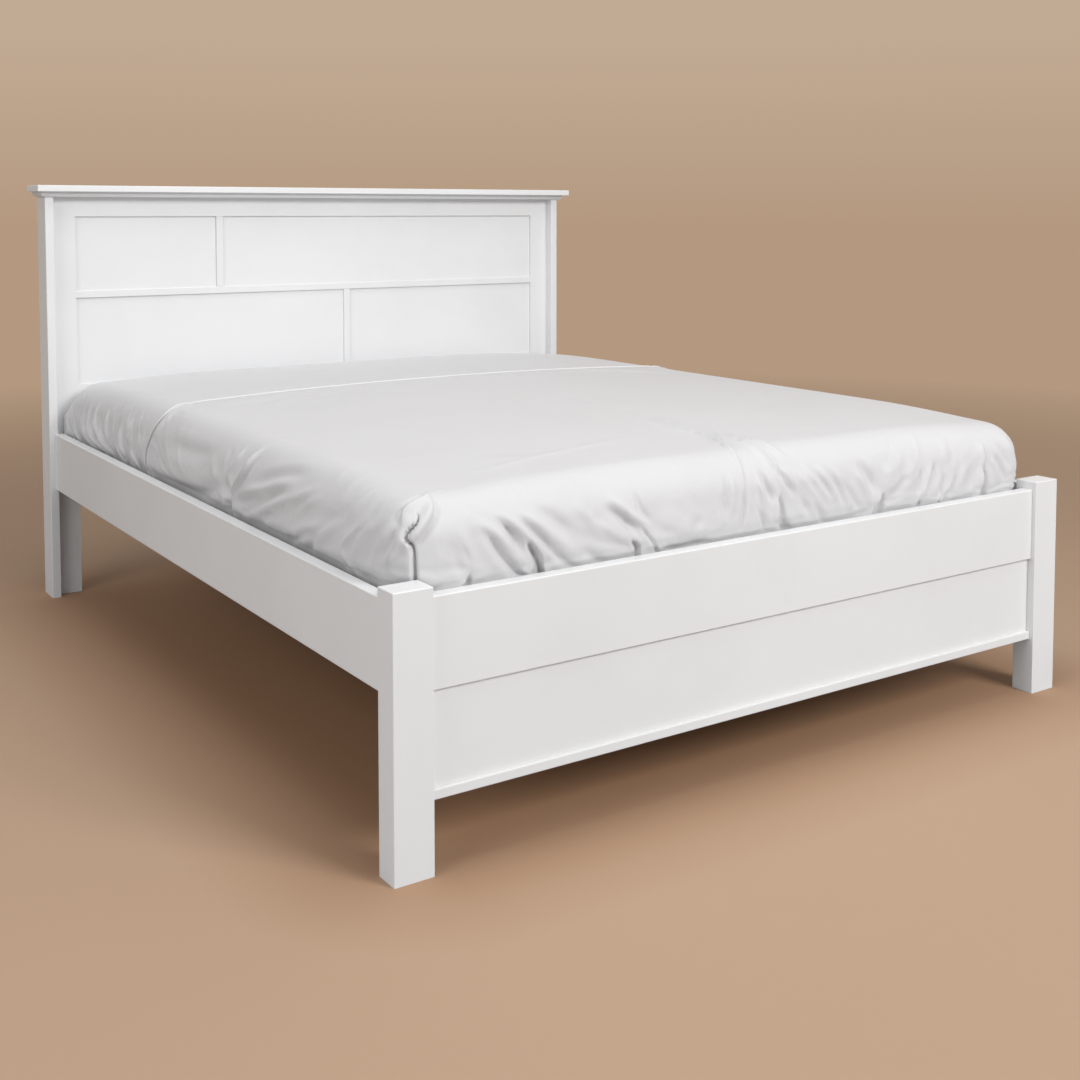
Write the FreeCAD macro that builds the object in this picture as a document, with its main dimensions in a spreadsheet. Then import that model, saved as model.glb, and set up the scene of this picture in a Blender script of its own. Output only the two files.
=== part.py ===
"""Panel bed: white framed headboard with a cap, low footboard, slatted base, mattress and sheets.

Frame: +Z up, +Y from the foot to the head, X across. The origin is on the floor under the middle of
the bed. Every length is in millimetres.
"""
import FreeCAD, Part
import math
import os

import Sketcher
from FreeCAD import Vector

SIZES = [
    # alias, millimetres (or a count), what it measures
    ("mattress_width", 1600, "the bed is made round this standard size"),
    ("mattress_length", 2000, "the bed is made round this standard size"),
    ("mattress_side_gap", 26, "mattress to the inner face of a side rail"),
    ("mattress_end_gap", 16.5, "mattress to the foot rail, and to the headboard"),
    ("head_height", 1170, "floor to the top of the cap"),
    ("foot_post_width", 76, "across the bed"),
    ("foot_post_depth", 54, "along the bed"),
    ("foot_post_rise", 19, "top of a foot post over the rails"),
    ("rail_top", 467, "floor to the top edge of the side rails and the foot rail"),
    ("rail_height", 158, ""),
    ("foot_rail_setback", 10, "behind the face of the foot posts"),
    ("foot_rail_thickness", 28, ""),
    ("foot_panel_setback", 8, "behind the face of the foot rail"),
    ("foot_panel_thickness", 12, ""),
    ("ledge_top", 142, "floor to the top of the strip under the foot panel"),
    ("ledge_height", 18, ""),
    ("ledge_depth", 40, ""),
    ("side_rail_setback", 3, "inside the outer face of the foot posts"),
    ("side_rail_thickness", 26, ""),
    ("head_side_proud", 16, "side board of the headboard, outside the side rail's face"),
    ("head_side_thickness", 24, "side board of the headboard, across the bed"),
    ("head_side_depth", 84, "side board of the headboard, along the bed"),
    ("stile_width", 66, ""),
    ("stile_thickness", 32, "also the thickness of the headboard's two rails"),
    ("stile_setback", 31, "behind the front edge of the side boards"),
    ("top_rail_height", 56, ""),
    ("bottom_rail_top", 600, "floor to the top of the rail under the headboard's panel"),
    ("bottom_rail_height", 100, ""),
    ("support_rail_drop", 6, "top of the slats to the top of the low rail that carries the beam"),
    ("support_rail_height", 90, ""),
    ("head_panel_setback", 8, "behind the face of the stiles"),
    ("head_panel_thickness", 9, ""),
    ("strip_width", 21, ""),
    ("strip_thickness", 7, ""),
    ("strip_level", 849, "floor to the lower edge of the level strip"),
    ("upper_strip_left", 337, "middle of the bed to the right edge of the upper strip"),
    ("lower_strip_right", 64, "middle of the bed to the left edge of the lower strip"),
    ("cap_thickness", 18, ""),
    ("cap_side_overhang", 27, "past the side boards"),
    ("cap_front_overhang", 36, "past the front of the side boards"),
    ("moulding_height", 13.5, "second, smaller step under the cap"),
    ("moulding_side_overhang", 13, ""),
    ("moulding_front_overhang", 15, ""),
    ("moulding_bevel", 7, ""),
    ("edge_round", 2, "eased edges of the painted boards"),
    ("tenon_length", 30, ""),
    ("tenon_thickness", 12, ""),
    ("tenon_shoulder", 12, "above and below a tenon"),
    ("back_shoulder", 3, "behind a headboard tenon, which lies clear of the corner bolts"),
    ("ledge_tenon_height", 7, ""),
    ("ledge_tenon_length", 18, ""),
    ("ledge_tenon_inset", 4, "from the front and the back of the strip"),
    ("ledge_tenon_lift", 1, "over the underside of the strip"),
    ("groove_depth", 9, "panel grooves"),
    ("fit_gap", 0.2, "clearance of a tenon, a panel edge or a fastener"),
    ("hole_spare", 1, "depth of a blind hole past the end of what goes in it"),
    ("dowel_diameter", 8, ""),
    ("side_dowel_board_bite", 16, "into the side board"),
    ("side_dowel_stile_bite", 24, "into the stile"),
    ("side_dowel_count", 4, "in each side of the headboard"),
    ("side_dowel_first", 180, "floor to the lowest dowel"),
    ("side_dowel_last", 88.5, "highest dowel to the moulding"),
    ("cap_dowel_count", 5, ""),
    ("cap_dowel_inset", 58, "outermost dowel to the stile"),
    ("cap_dowel_rail_bite", 12, "into the top rail"),
    ("cap_dowel_cap_bite", 8, "into the cap"),
    ("slat_lift", 77, "underside of the rails to the top of the slats"),
    ("slat_width", 70, ""),
    ("slat_thickness", 18, ""),
    ("slat_count", 14, ""),
    ("slat_end_gap", 2, "slat end to the rail"),
    ("slat_round", 3, "eased long edges of a slat"),
    ("cleat_width", 30, "ledger that carries the slat ends"),
    ("cleat_height", 34, ""),
    ("cleat_gap", 6, "cleat end to the corner plate"),
    ("cleat_screw_count", 7, "in each cleat, between the slats"),
    ("cleat_screw_length", 44, ""),
    ("slat_screw_length", 40, ""),
    ("screw_diameter", 4, ""),
    ("screw_point_length", 4, ""),
    ("screw_point_diameter", 1, ""),
    ("screw_head_diameter", 8, ""),
    ("beam_width", 45, ""),
    ("beam_height", 60, ""),
    ("beam_end_gap", 4, "beam end to the back plate of its saddle"),
    ("saddle_length", 40, ""),
    ("saddle_ear", 24, "screwed flange at each side of a saddle"),
    ("saddle_drop", 4, "top of the beam to the top of a saddle"),
    ("saddle_screw_bite", 16.8, ""),
    ("saddle_screw_inset", 13.2, "outer face of a cheek to the screws"),
    ("saddle_screw_lift", 18, "underside of the beam to the lower screws"),
    ("saddle_screw_spacing", 27, ""),
    ("leg_size", 45, ""),
    ("leg_spread", 760, "between the middles of the two centre legs"),
    ("leg_bolt_length", 70, ""),
    ("glide_height", 6, ""),
    ("glide_diameter", 40, ""),
    ("glide_pin", 18, "length of the pin in the leg"),
    ("plate_thickness", 3, "steel corner plates and saddles"),
    ("corner_leg", 60, "corner plate along the side rail"),
    ("corner_reach", 44, "corner plate along the post or the stile"),
    ("corner_height", 50, ""),
    ("corner_drop", 4, "underside of the slats to the top of a corner plate"),
    ("corner_bolt_place", 42, "bend of a corner plate to the bolts in the side rail"),
    ("corner_bolt_inset", 13.2, "side rail to the bolts in the post or the stile"),
    ("bolt_diameter", 6, ""),
    ("bolt_head_diameter", 12, ""),
    ("bolt_head_height", 4, ""),
    ("bolt_length", 19, "under the head"),
    ("bolt_spacing", 26, "between the two bolts in one plate leg"),
    ("mattress_height", 232, "slats to the top edge, without the crown"),
    ("mattress_crown", 18, ""),
    ("mattress_corner_gap", 49, "foot post to the start of the mattress's rounded corner"),
    ("mattress_smallest_corner", 12, "corner radius where the crown is narrowest"),
    ("mattress_top_round", 44, ""),
    ("mattress_base_round", 22, ""),
    ("mattress_bulge", 5, "how far the sides swell at half height"),
    ("mattress_pull", 6, "how far the sides draw in between the corners"),
    ("padding_thickness", 20, "quilted border and pads round the hollow that the springs take up"),
    ("bed_gap", 0.3, "air under the mattress and between the cloth layers"),
    ("cloth_thickness", 1.5, ""),
    ("cloth_hem_lift", 14, "slats to the lower rim of the sheets"),
    ("cloth_drape", 4, "extra swing of the top sheet at its lower rim"),
    ("turn_down", 735, "head end of the mattress to the hem of the top sheet"),
]

FOLDS = {
    # (place, width, depth, lean) of each fold, going round the mattress to the left as seen from
    # above. The place is a share of the side's straight half, from its middle; the lean is how
    # far the foot of the fold lies past its head.
    "fitted": {
        "left": [(-0.968 + 0.043 * k, 28, 5, 12) for k in range(5)],
        "right": [(0.796 + 0.043 * k, 28, 5, -12) for k in range(5)],
    },
    "top": {
        "left": [(-0.52, 60, 6, -24), (-0.42, 46, 7, 30), (0.065, 70, 5, 24), (0.45, 64, 5, 20),
                 (0.79, 56, 7, 10)],
        "foot": [(-0.87, 60, 7, 22), (-0.59, 66, 6, 30), (-0.295, 70, 7, 34), (-0.055, 50, 5, 26),
                 (0.205, 76, 7, 14), (0.4, 50, 5, -24), (0.59, 66, 7, -30), (0.795, 50, 5, -20),
                 (0.945, 46, 7, -10)],
        "right": [(-0.82, 50, 7, 12), (-0.45, 60, 5, 24), (0.0, 70, 5, -24), (0.44, 60, 6, -20)],
    },
}

EDGE_SPREAD = 0.3  # share of a fold's depth that is left where the side turns to the top
CROWN_STEPS = (0.08, 0.2, 0.4, 0.65, 0.85)  # from the edge of the top, 0, to its middle, 1

doc = FreeCAD.newDocument("PanelBed")
sheet = doc.addObject("Spreadsheet::Sheet", "Dims")
for row, (alias, value, note) in enumerate(SIZES, start=1):
    sheet.set(f"A{row}", alias)
    sheet.set(f"B{row}", str(value))
    sheet.set(f"C{row}", note)
    sheet.setAlias(f"B{row}", alias)
doc.recompute()

# Places that several pieces share, as expressions on the sheet.
OVERLAP = "1"  # how far a step reaches into the one it joins, or a cut past an open face
BED_LENGTH = ("(Dims.foot_rail_setback + Dims.foot_rail_thickness + Dims.mattress_length"
              " + 2 * Dims.mattress_end_gap + Dims.head_side_depth - Dims.stile_setback)")
FOOT_FACE = f"(-{BED_LENGTH} / 2)"
WALL_FACE = f"({BED_LENGTH} / 2)"
SIDE_RAIL_IN = "(Dims.mattress_width / 2 + Dims.mattress_side_gap)"
SIDE_RAIL_OUT = f"({SIDE_RAIL_IN} + Dims.side_rail_thickness)"
POST_OUT = f"({SIDE_RAIL_OUT} + Dims.side_rail_setback)"
POST_IN = f"({POST_OUT} - Dims.foot_post_width)"
POST_BACK = f"({FOOT_FACE} + Dims.foot_post_depth)"
POST_TOP = "(Dims.rail_top + Dims.foot_post_rise)"
FOOT_RAIL_FACE = f"({FOOT_FACE} + Dims.foot_rail_setback)"
FOOT_RAIL_BACK = f"({FOOT_RAIL_FACE} + Dims.foot_rail_thickness)"
FOOT_PANEL_FACE = f"({FOOT_RAIL_FACE} + Dims.foot_panel_setback)"
FOOT_TENON_Y = f"({FOOT_RAIL_FACE} + (Dims.foot_rail_thickness - Dims.tenon_thickness) / 2)"
RAIL_UNDER = "(Dims.rail_top - Dims.rail_height)"
LEDGE_UNDER = "(Dims.ledge_top - Dims.ledge_height)"
HEAD_FACE = f"({WALL_FACE} - Dims.head_side_depth)"
HEAD_OUT = f"({SIDE_RAIL_OUT} + Dims.head_side_proud)"
STILE_FACE = f"({HEAD_FACE} + Dims.stile_setback)"
STILE_MIDDLE = f"({STILE_FACE} + Dims.stile_thickness / 2)"
STILE_OUT = f"({HEAD_OUT} - Dims.head_side_thickness)"
STILE_IN = f"({STILE_OUT} - Dims.stile_width)"
HEAD_TENON_Y = f"({STILE_FACE} + Dims.stile_thickness - Dims.back_shoulder - Dims.tenon_thickness)"
CAP_UNDER = "(Dims.head_height - Dims.cap_thickness)"
MOULDING_UNDER = f"({CAP_UNDER} - Dims.moulding_height)"
TOP_RAIL_UNDER = f"({MOULDING_UNDER} - Dims.top_rail_height)"
BOTTOM_RAIL_UNDER = "(Dims.bottom_rail_top - Dims.bottom_rail_height)"
SLAT_TOP = f"({RAIL_UNDER} + Dims.slat_lift)"
SUPPORT_RAIL_UNDER = f"({SLAT_TOP} - Dims.support_rail_drop - Dims.support_rail_height)"
HEAD_PANEL_FACE = f"({STILE_FACE} + Dims.head_panel_setback)"
STRIP_FACE = f"({HEAD_PANEL_FACE} - Dims.strip_thickness)"
STRIP_TOP = "(Dims.strip_level + Dims.strip_width)"
SIDE_DOWEL_LENGTH = "(Dims.side_dowel_board_bite + Dims.side_dowel_stile_bite)"
SIDE_DOWEL_RUN = f"({MOULDING_UNDER} - Dims.side_dowel_first - Dims.side_dowel_last)"
CAP_DOWEL_RUN = f"(2 * ({STILE_IN} - Dims.cap_dowel_inset))"
DOWEL_HOLE = "(Dims.dowel_diameter + 2 * Dims.fit_gap)"
SCREW_HOLE = "(Dims.screw_diameter + 2 * Dims.fit_gap)"
BOLT_HOLE = "(Dims.bolt_diameter + 2 * Dims.fit_gap)"
SLAT_UNDER = f"({SLAT_TOP} - Dims.slat_thickness)"
SLAT_HALF = f"({SIDE_RAIL_IN} - Dims.slat_end_gap)"
CLEAT_IN = f"({SIDE_RAIL_IN} - Dims.cleat_width)"
CLEAT_UNDER = f"({SLAT_UNDER} - Dims.cleat_height)"
CLEAT_START = f"({POST_BACK} + Dims.corner_leg + Dims.cleat_gap)"
CLEAT_END = f"({STILE_FACE} - Dims.corner_leg - Dims.cleat_gap)"
SLAT_FIRST = f"({CLEAT_START} + Dims.slat_width / 2)"
SLAT_RUN = f"({CLEAT_END} - {CLEAT_START} - Dims.slat_width)"
SLAT_SPACING = f"({SLAT_RUN} / (Dims.slat_count - 1))"
CLEAT_SCREW_FIRST = f"({SLAT_FIRST} + {SLAT_SPACING} / 2)"
CLEAT_SCREW_RUN = f"({SLAT_RUN} - {SLAT_SPACING})"
CLEAT_SCREW_LEVEL = f"({SLAT_UNDER} - Dims.cleat_height / 2)"
SLAT_SCREW_X = f"({SIDE_RAIL_IN} - Dims.cleat_width / 2)"
BEAM_UNDER = f"({SLAT_UNDER} - Dims.beam_height)"
CORNER_LEVEL = f"({SLAT_UNDER} - Dims.corner_drop - Dims.corner_height)"
BOLT_LEVEL = f"({CORNER_LEVEL} + (Dims.corner_height - Dims.bolt_spacing) / 2)"
BOLT_IN_END = f"({SIDE_RAIL_IN} - Dims.corner_bolt_inset)"
BOLT_BITE = "(Dims.bolt_length - Dims.plate_thickness + Dims.hole_spare)"
SADDLE_SCREW_X = ("(Dims.beam_width / 2 + Dims.fit_gap + Dims.plate_thickness"
                  " + Dims.saddle_screw_inset)")
SADDLE_SCREW_LEVEL = f"({BEAM_UNDER} + Dims.saddle_screw_lift)"
SINK = "((Dims.screw_head_diameter - Dims.screw_diameter) / 2)"

bodies = []


# ---- drawing helpers ---------------------------------------------------------------------------

def new_body(label):
    """A sub-part; its label is the name of its file."""
    item = doc.addObject("PartDesign::Body", label)
    item.Label = label
    bodies.append(item)
    return item


def origin_of(body, role):
    return next(part for part in body.Origin.OriginFeatures if part.Role == role)


def sketch_at(body, along, x, y, z):
    """A sketch square to one axis, with its own origin at x, y, z. It looks so that its first axis
    is X (or Y when it is square to X) and its second is Z (or Y when it is square to Z)."""
    role, offset = {
        "x": ("YZ_Plane", (y, z, x)),
        "y": ("XZ_Plane", (x, z, f"-({y})")),
        "z": ("XY_Plane", (x, y, z)),
    }[along]
    drawing = body.newObject("Sketcher::SketchObject", f"{body.Name}_sketch")
    drawing.AttachmentSupport = (origin_of(body, role), [""])
    drawing.MapMode = "FlatFace"
    for axis, expression in zip("xyz", offset):
        drawing.setExpression(f"AttachmentOffset.Base.{axis}", expression)
    return drawing


def draw_rectangle(drawing, width, height):
    """A rectangle from the sketch's origin; both sizes are expressions."""
    corners = [Vector(0, 0), Vector(1, 0), Vector(1, 1), Vector(0, 1)]
    for k in range(4):
        drawing.addGeometry(Part.LineSegment(corners[k], corners[(k + 1) % 4]), False)
    for k, turned in enumerate(("Horizontal", "Vertical", "Horizontal", "Vertical")):
        drawing.addConstraint(Sketcher.Constraint("Coincident", k, 2, (k + 1) % 4, 1))
        drawing.addConstraint(Sketcher.Constraint(turned, k))
    drawing.addConstraint(Sketcher.Constraint("Coincident", 0, 1, -1, 1))
    wide = drawing.addConstraint(Sketcher.Constraint("DistanceX", 0, 1, 0, 2, 1.0))
    high = drawing.addConstraint(Sketcher.Constraint("DistanceY", 1, 1, 1, 2, 1.0))
    drawing.setExpression(f"Constraints[{wide}]", width)
    drawing.setExpression(f"Constraints[{high}]", height)


def draw_circle(drawing, diameter):
    """A circle round the sketch's origin."""
    drawing.addGeometry(Part.Circle(Vector(0, 0), Vector(0, 0, 1), 1.0), False)
    drawing.addConstraint(Sketcher.Constraint("Coincident", 0, 3, -1, 1))
    size = drawing.addConstraint(Sketcher.Constraint("Diameter", 0, 2.0))
    drawing.setExpression(f"Constraints[{size}]", diameter)


def draw_outline(drawing, points):
    """A closed outline of straight lines, each corner placed by two expressions from the origin.
    An expression of None puts the corner on that axis."""
    count = len(points)
    rough = [Vector(math.cos(2 * math.pi * k / count),
                    math.sin(2 * math.pi * k / count)) for k in range(count)]
    for k in range(count):
        drawing.addGeometry(Part.LineSegment(rough[k], rough[(k + 1) % count]), False)
    for k in range(count):
        drawing.addConstraint(Sketcher.Constraint("Coincident", k, 2, (k + 1) % count, 1))
    for k, (across, up) in enumerate(points):
        if across is None and up is None:
            drawing.addConstraint(Sketcher.Constraint("Coincident", k, 1, -1, 1))
            continue
        for kind, expression, axis in (("DistanceX", across, -2), ("DistanceY", up, -1)):
            if expression is None:
                drawing.addConstraint(Sketcher.Constraint("PointOnObject", k, 1, axis))
            else:
                place = drawing.addConstraint(Sketcher.Constraint(kind, -1, 1, k, 1, 1.0))
                drawing.setExpression(f"Constraints[{place}]", expression)


def extrude(body, drawing, along, length, cut):
    """Pads or pockets a sketch towards the axis's positive end."""
    feature = body.newObject("PartDesign::Pocket" if cut else "PartDesign::Pad", f"{body.Name}_step")
    feature.Profile = drawing
    feature.setExpression("Length", length)
    feature.Reversed = (along == "y") != cut
    return feature


def block(body, x, y, z, size_x, size_y, size_z, along="z", cut=False):
    """A rectangular block from its lowest corner: a pad, or a pocket where cut is set."""
    sides = {"x": (size_y, size_z, size_x), "y": (size_x, size_z, size_y), "z": (size_x, size_y, size_z)}
    width, height, length = sides[along]
    drawing = sketch_at(body, along, x, y, z)
    draw_rectangle(drawing, width, height)
    return extrude(body, drawing, along, length, cut)


def bar(body, x, y, z, diameter, length, along, cut=False):
    """A round bar, or a hole where cut is set, from the middle of its lowest end."""
    drawing = sketch_at(body, along, x, y, z)
    draw_circle(drawing, diameter)
    return extrude(body, drawing, along, length, cut)


def row_of(body, features, axis, run, count, mirror=None):
    """Repeats features along an origin axis, and mirrors the whole row on a plane if one is named."""
    both = body.newObject("PartDesign::MultiTransform", f"{body.Name}_rows")
    line = body.newObject("PartDesign::LinearPattern", f"{body.Name}_row")
    line.Direction = (origin_of(body, f"{axis}_Axis"), [""])
    line.setExpression("Length", run)
    line.setExpression("Occurrences", count)
    steps = [line]
    if mirror:
        other = body.newObject("PartDesign::Mirrored", f"{body.Name}_mirror")
        other.MirrorPlane = (origin_of(body, mirror), [""])
        steps.append(other)
    both.Originals = features
    both.Transformations = steps
    body.Tip = both
    return both


def mirrored(body, feature, plane):
    other = body.newObject("PartDesign::Mirrored", f"{body.Name}_mirror")
    other.Originals = [feature]
    other.MirrorPlane = (origin_of(body, plane), [""])
    body.Tip = other
    return other


def ease_edges(body, radius, wanted):
    """Rounds the outer edges of a board that pass the test; the edges are found by their place."""
    doc.recompute()
    tip = body.Tip
    box = tip.Shape.BoundBox
    names = []
    for number, edge in enumerate(tip.Shape.Edges, start=1):
        middle = edge.valueAt((edge.FirstParameter + edge.LastParameter) / 2)
        outer = [
            min(abs(middle.x - box.XMin), abs(middle.x - box.XMax)) < 1e-4,
            min(abs(middle.y - box.YMin), abs(middle.y - box.YMax)) < 1e-4,
            min(abs(middle.z - box.ZMin), abs(middle.z - box.ZMax)) < 1e-4,
        ]
        if sum(outer) >= 2 and edge.Curve.TypeId == "Part::GeomLine" and wanted(edge, middle):
            names.append(f"Edge{number}")
    rounding = body.newObject("PartDesign::Fillet", f"{body.Name}_edges")
    rounding.Base = (tip, names)
    rounding.setExpression("Radius", radius)
    return rounding


def runs_along(edge, axis):
    direction = edge.Curve.Direction
    return abs(getattr(direction, axis)) > 0.99


def across(side, inner, width):
    """Lowest X of something that lies from inner outwards on one side of the bed."""
    return f"(-({inner}) - ({width}))" if side == "left" else f"({inner})"


# ---- headboard ---------------------------------------------------------------------------------

def head_side_board(side):
    board = new_body(f"head_side_board_{side}")
    start = across(side, STILE_OUT, "Dims.head_side_thickness")
    block(board, start, HEAD_FACE, "0", "Dims.head_side_thickness", "Dims.head_side_depth",
          MOULDING_UNDER)
    depth = "Dims.side_dowel_board_bite + Dims.hole_spare"
    hole = bar(board, across(side, STILE_OUT, depth), STILE_MIDDLE, "Dims.side_dowel_first",
               DOWEL_HOLE, depth, "x", cut=True)
    ease_edges(board, "Dims.edge_round", lambda edge, middle: runs_along(edge, "z"))
    row_of(board, [hole], "Z", SIDE_DOWEL_RUN, "Dims.side_dowel_count")


def rail_mortise(board, side, rail_under, rail_height):
    """Mortise for a headboard rail, in the inner edge of a stile."""
    depth = "(Dims.tenon_length + Dims.hole_spare)"
    block(board, across(side, STILE_IN, depth),
          f"{HEAD_TENON_Y} - Dims.fit_gap",
          f"{rail_under} + Dims.tenon_shoulder - Dims.fit_gap", depth,
          "Dims.tenon_thickness + 2 * Dims.fit_gap",
          f"{rail_height} - 2 * Dims.tenon_shoulder + 2 * Dims.fit_gap", along="x", cut=True)


def head_stile(side):
    board = new_body(f"head_stile_{side}")
    start = across(side, STILE_IN, "Dims.stile_width")
    block(board, start, STILE_FACE, "0", "Dims.stile_width", "Dims.stile_thickness", MOULDING_UNDER)
    rail_mortise(board, side, TOP_RAIL_UNDER, "Dims.top_rail_height")
    rail_mortise(board, side, BOTTOM_RAIL_UNDER, "Dims.bottom_rail_height")
    rail_mortise(board, side, SUPPORT_RAIL_UNDER, "Dims.support_rail_height")
    block(board, across(side, STILE_IN, "Dims.groove_depth"), f"{HEAD_PANEL_FACE} - Dims.fit_gap",
          "Dims.bottom_rail_top - Dims.groove_depth", "Dims.groove_depth",
          "Dims.head_panel_thickness + 2 * Dims.fit_gap",
          f"{TOP_RAIL_UNDER} - Dims.bottom_rail_top + 2 * Dims.groove_depth", along="x", cut=True)
    depth = "Dims.side_dowel_stile_bite + Dims.hole_spare"
    inward = f"({STILE_OUT} - ({depth}))"
    hole = bar(board, across(side, inward, depth), STILE_MIDDLE, "Dims.side_dowel_first",
               DOWEL_HOLE, depth, "x", cut=True)
    row_of(board, [hole], "Z", SIDE_DOWEL_RUN, "Dims.side_dowel_count")
    bolt = bar(board, across(side, BOLT_IN_END, "0"), STILE_FACE, BOLT_LEVEL,
               BOLT_HOLE, BOLT_BITE, "y", cut=True)
    row_of(board, [bolt], "Z", "Dims.bolt_spacing", "2")


def headboard_rail(label, under, height):
    """A rail between the stiles, with a tenon at each end."""
    board = new_body(label)
    shoulder = "Dims.tenon_shoulder"
    block(board, f"-{STILE_IN}", STILE_FACE, under, f"2 * {STILE_IN}", "Dims.stile_thickness", height,
          along="x")
    block(board, f"-({STILE_IN} + Dims.tenon_length)", HEAD_TENON_Y,
          f"{under} + {shoulder}", f"2 * ({STILE_IN} + Dims.tenon_length)", "Dims.tenon_thickness",
          f"{height} - 2 * {shoulder}", along="x")
    return board


def panel_groove(board, level):
    """A groove along a headboard rail for one edge of the panel."""
    block(board, f"-{STILE_IN}", f"{HEAD_PANEL_FACE} - Dims.fit_gap", level, f"2 * {STILE_IN}",
          "Dims.head_panel_thickness + 2 * Dims.fit_gap", "Dims.groove_depth", along="x", cut=True)


def head_top_rail():
    board = headboard_rail("head_top_rail", TOP_RAIL_UNDER, "Dims.top_rail_height")
    panel_groove(board, TOP_RAIL_UNDER)
    hole = bar(board, f"-{CAP_DOWEL_RUN} / 2", STILE_MIDDLE,
               f"{MOULDING_UNDER} - Dims.cap_dowel_rail_bite - Dims.hole_spare", DOWEL_HOLE,
               "Dims.cap_dowel_rail_bite + Dims.hole_spare", "z", cut=True)
    row_of(board, [hole], "X", CAP_DOWEL_RUN, "Dims.cap_dowel_count")


def head_bottom_rail():
    board = headboard_rail("head_bottom_rail", BOTTOM_RAIL_UNDER, "Dims.bottom_rail_height")
    panel_groove(board, "Dims.bottom_rail_top - Dims.groove_depth")


def head_support_rail():
    """The low rail behind the mattress; the head end of the centre beam hangs on it."""
    board = headboard_rail("head_support_rail", SUPPORT_RAIL_UNDER, "Dims.support_rail_height")
    saddle_screw_holes(board, STILE_FACE)


def head_panel():
    """Thin panel, let into the grooves all round, with its face behind the frame's."""
    board = new_body("head_panel")
    bite = "(Dims.groove_depth - 2 * Dims.fit_gap)"
    block(board, f"-({STILE_IN} + {bite})", HEAD_PANEL_FACE, f"Dims.bottom_rail_top - {bite}",
          f"2 * ({STILE_IN} + {bite})", "Dims.head_panel_thickness",
          f"{TOP_RAIL_UNDER} - Dims.bottom_rail_top + 2 * {bite}", along="y")


def head_strip(label, x, z, size_x, size_z, lengthwise):
    strip = new_body(label)
    block(strip, x, STRIP_FACE, z, size_x, "Dims.strip_thickness", size_z, along="y")
    ease_edges(strip, "Dims.edge_round", lambda edge, middle: runs_along(edge, lengthwise)
               and abs(middle.y - strip.Tip.Shape.BoundBox.YMin) < 1e-4)


def head_cap_moulding():
    """The small step under the cap, bevelled below its front and side edges."""
    board = new_body("head_cap_moulding")
    reach = f"({HEAD_OUT} + Dims.moulding_side_overhang)"
    front = f"({HEAD_FACE} - Dims.moulding_front_overhang)"
    block(board, f"-{reach}", front, MOULDING_UNDER, f"2 * {reach}", f"{WALL_FACE} - {front}",
          "Dims.moulding_height")
    doc.recompute()
    tip = board.Tip
    box = tip.Shape.BoundBox
    names = []
    for number, edge in enumerate(tip.Shape.Edges, start=1):
        middle = edge.valueAt((edge.FirstParameter + edge.LastParameter) / 2)
        at_side = abs(abs(middle.x) - box.XMax) < 1e-4
        at_front = abs(middle.y - box.YMin) < 1e-4
        if abs(middle.z - box.ZMin) < 1e-4 and at_side != at_front:
            names.append(f"Edge{number}")
    bevel = board.newObject("PartDesign::Chamfer", "moulding_bevel")
    bevel.Base = (tip, names)
    bevel.setExpression("Size", "Dims.moulding_bevel")
    hole = bar(board, f"-{CAP_DOWEL_RUN} / 2", STILE_MIDDLE, MOULDING_UNDER,
               DOWEL_HOLE, "Dims.moulding_height", "z", cut=True)
    row_of(board, [hole], "X", CAP_DOWEL_RUN, "Dims.cap_dowel_count")


def head_cap():
    """The overhanging slab on top of the headboard."""
    board = new_body("head_cap")
    reach = f"({HEAD_OUT} + Dims.cap_side_overhang)"
    front = f"({HEAD_FACE} - Dims.cap_front_overhang)"
    block(board, f"-{reach}", front, CAP_UNDER, f"2 * {reach}", f"{WALL_FACE} - {front}",
          "Dims.cap_thickness")
    ease_edges(board, "Dims.edge_round", lambda edge, middle: True)
    hole = bar(board, f"-{CAP_DOWEL_RUN} / 2", STILE_MIDDLE, CAP_UNDER,
               DOWEL_HOLE, "Dims.cap_dowel_cap_bite + Dims.hole_spare", "z", cut=True)
    row_of(board, [hole], "X", CAP_DOWEL_RUN, "Dims.cap_dowel_count")


def side_board_dowels():
    pins = new_body("side_board_dowels")
    inner = f"({STILE_OUT} - Dims.side_dowel_stile_bite)"
    pin = bar(pins, inner, STILE_MIDDLE, "Dims.side_dowel_first", "Dims.dowel_diameter",
              SIDE_DOWEL_LENGTH, "x")
    row_of(pins, [pin], "Z", SIDE_DOWEL_RUN, "Dims.side_dowel_count", mirror="YZ_Plane")


def cap_dowels():
    pins = new_body("cap_dowels")
    pin = bar(pins, f"-{CAP_DOWEL_RUN} / 2", STILE_MIDDLE,
              f"{MOULDING_UNDER} - Dims.cap_dowel_rail_bite", "Dims.dowel_diameter",
              "Dims.moulding_height + Dims.cap_dowel_rail_bite + Dims.cap_dowel_cap_bite", "z")
    row_of(pins, [pin], "X", CAP_DOWEL_RUN, "Dims.cap_dowel_count")


# ---- footboard ---------------------------------------------------------------------------------


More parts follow.
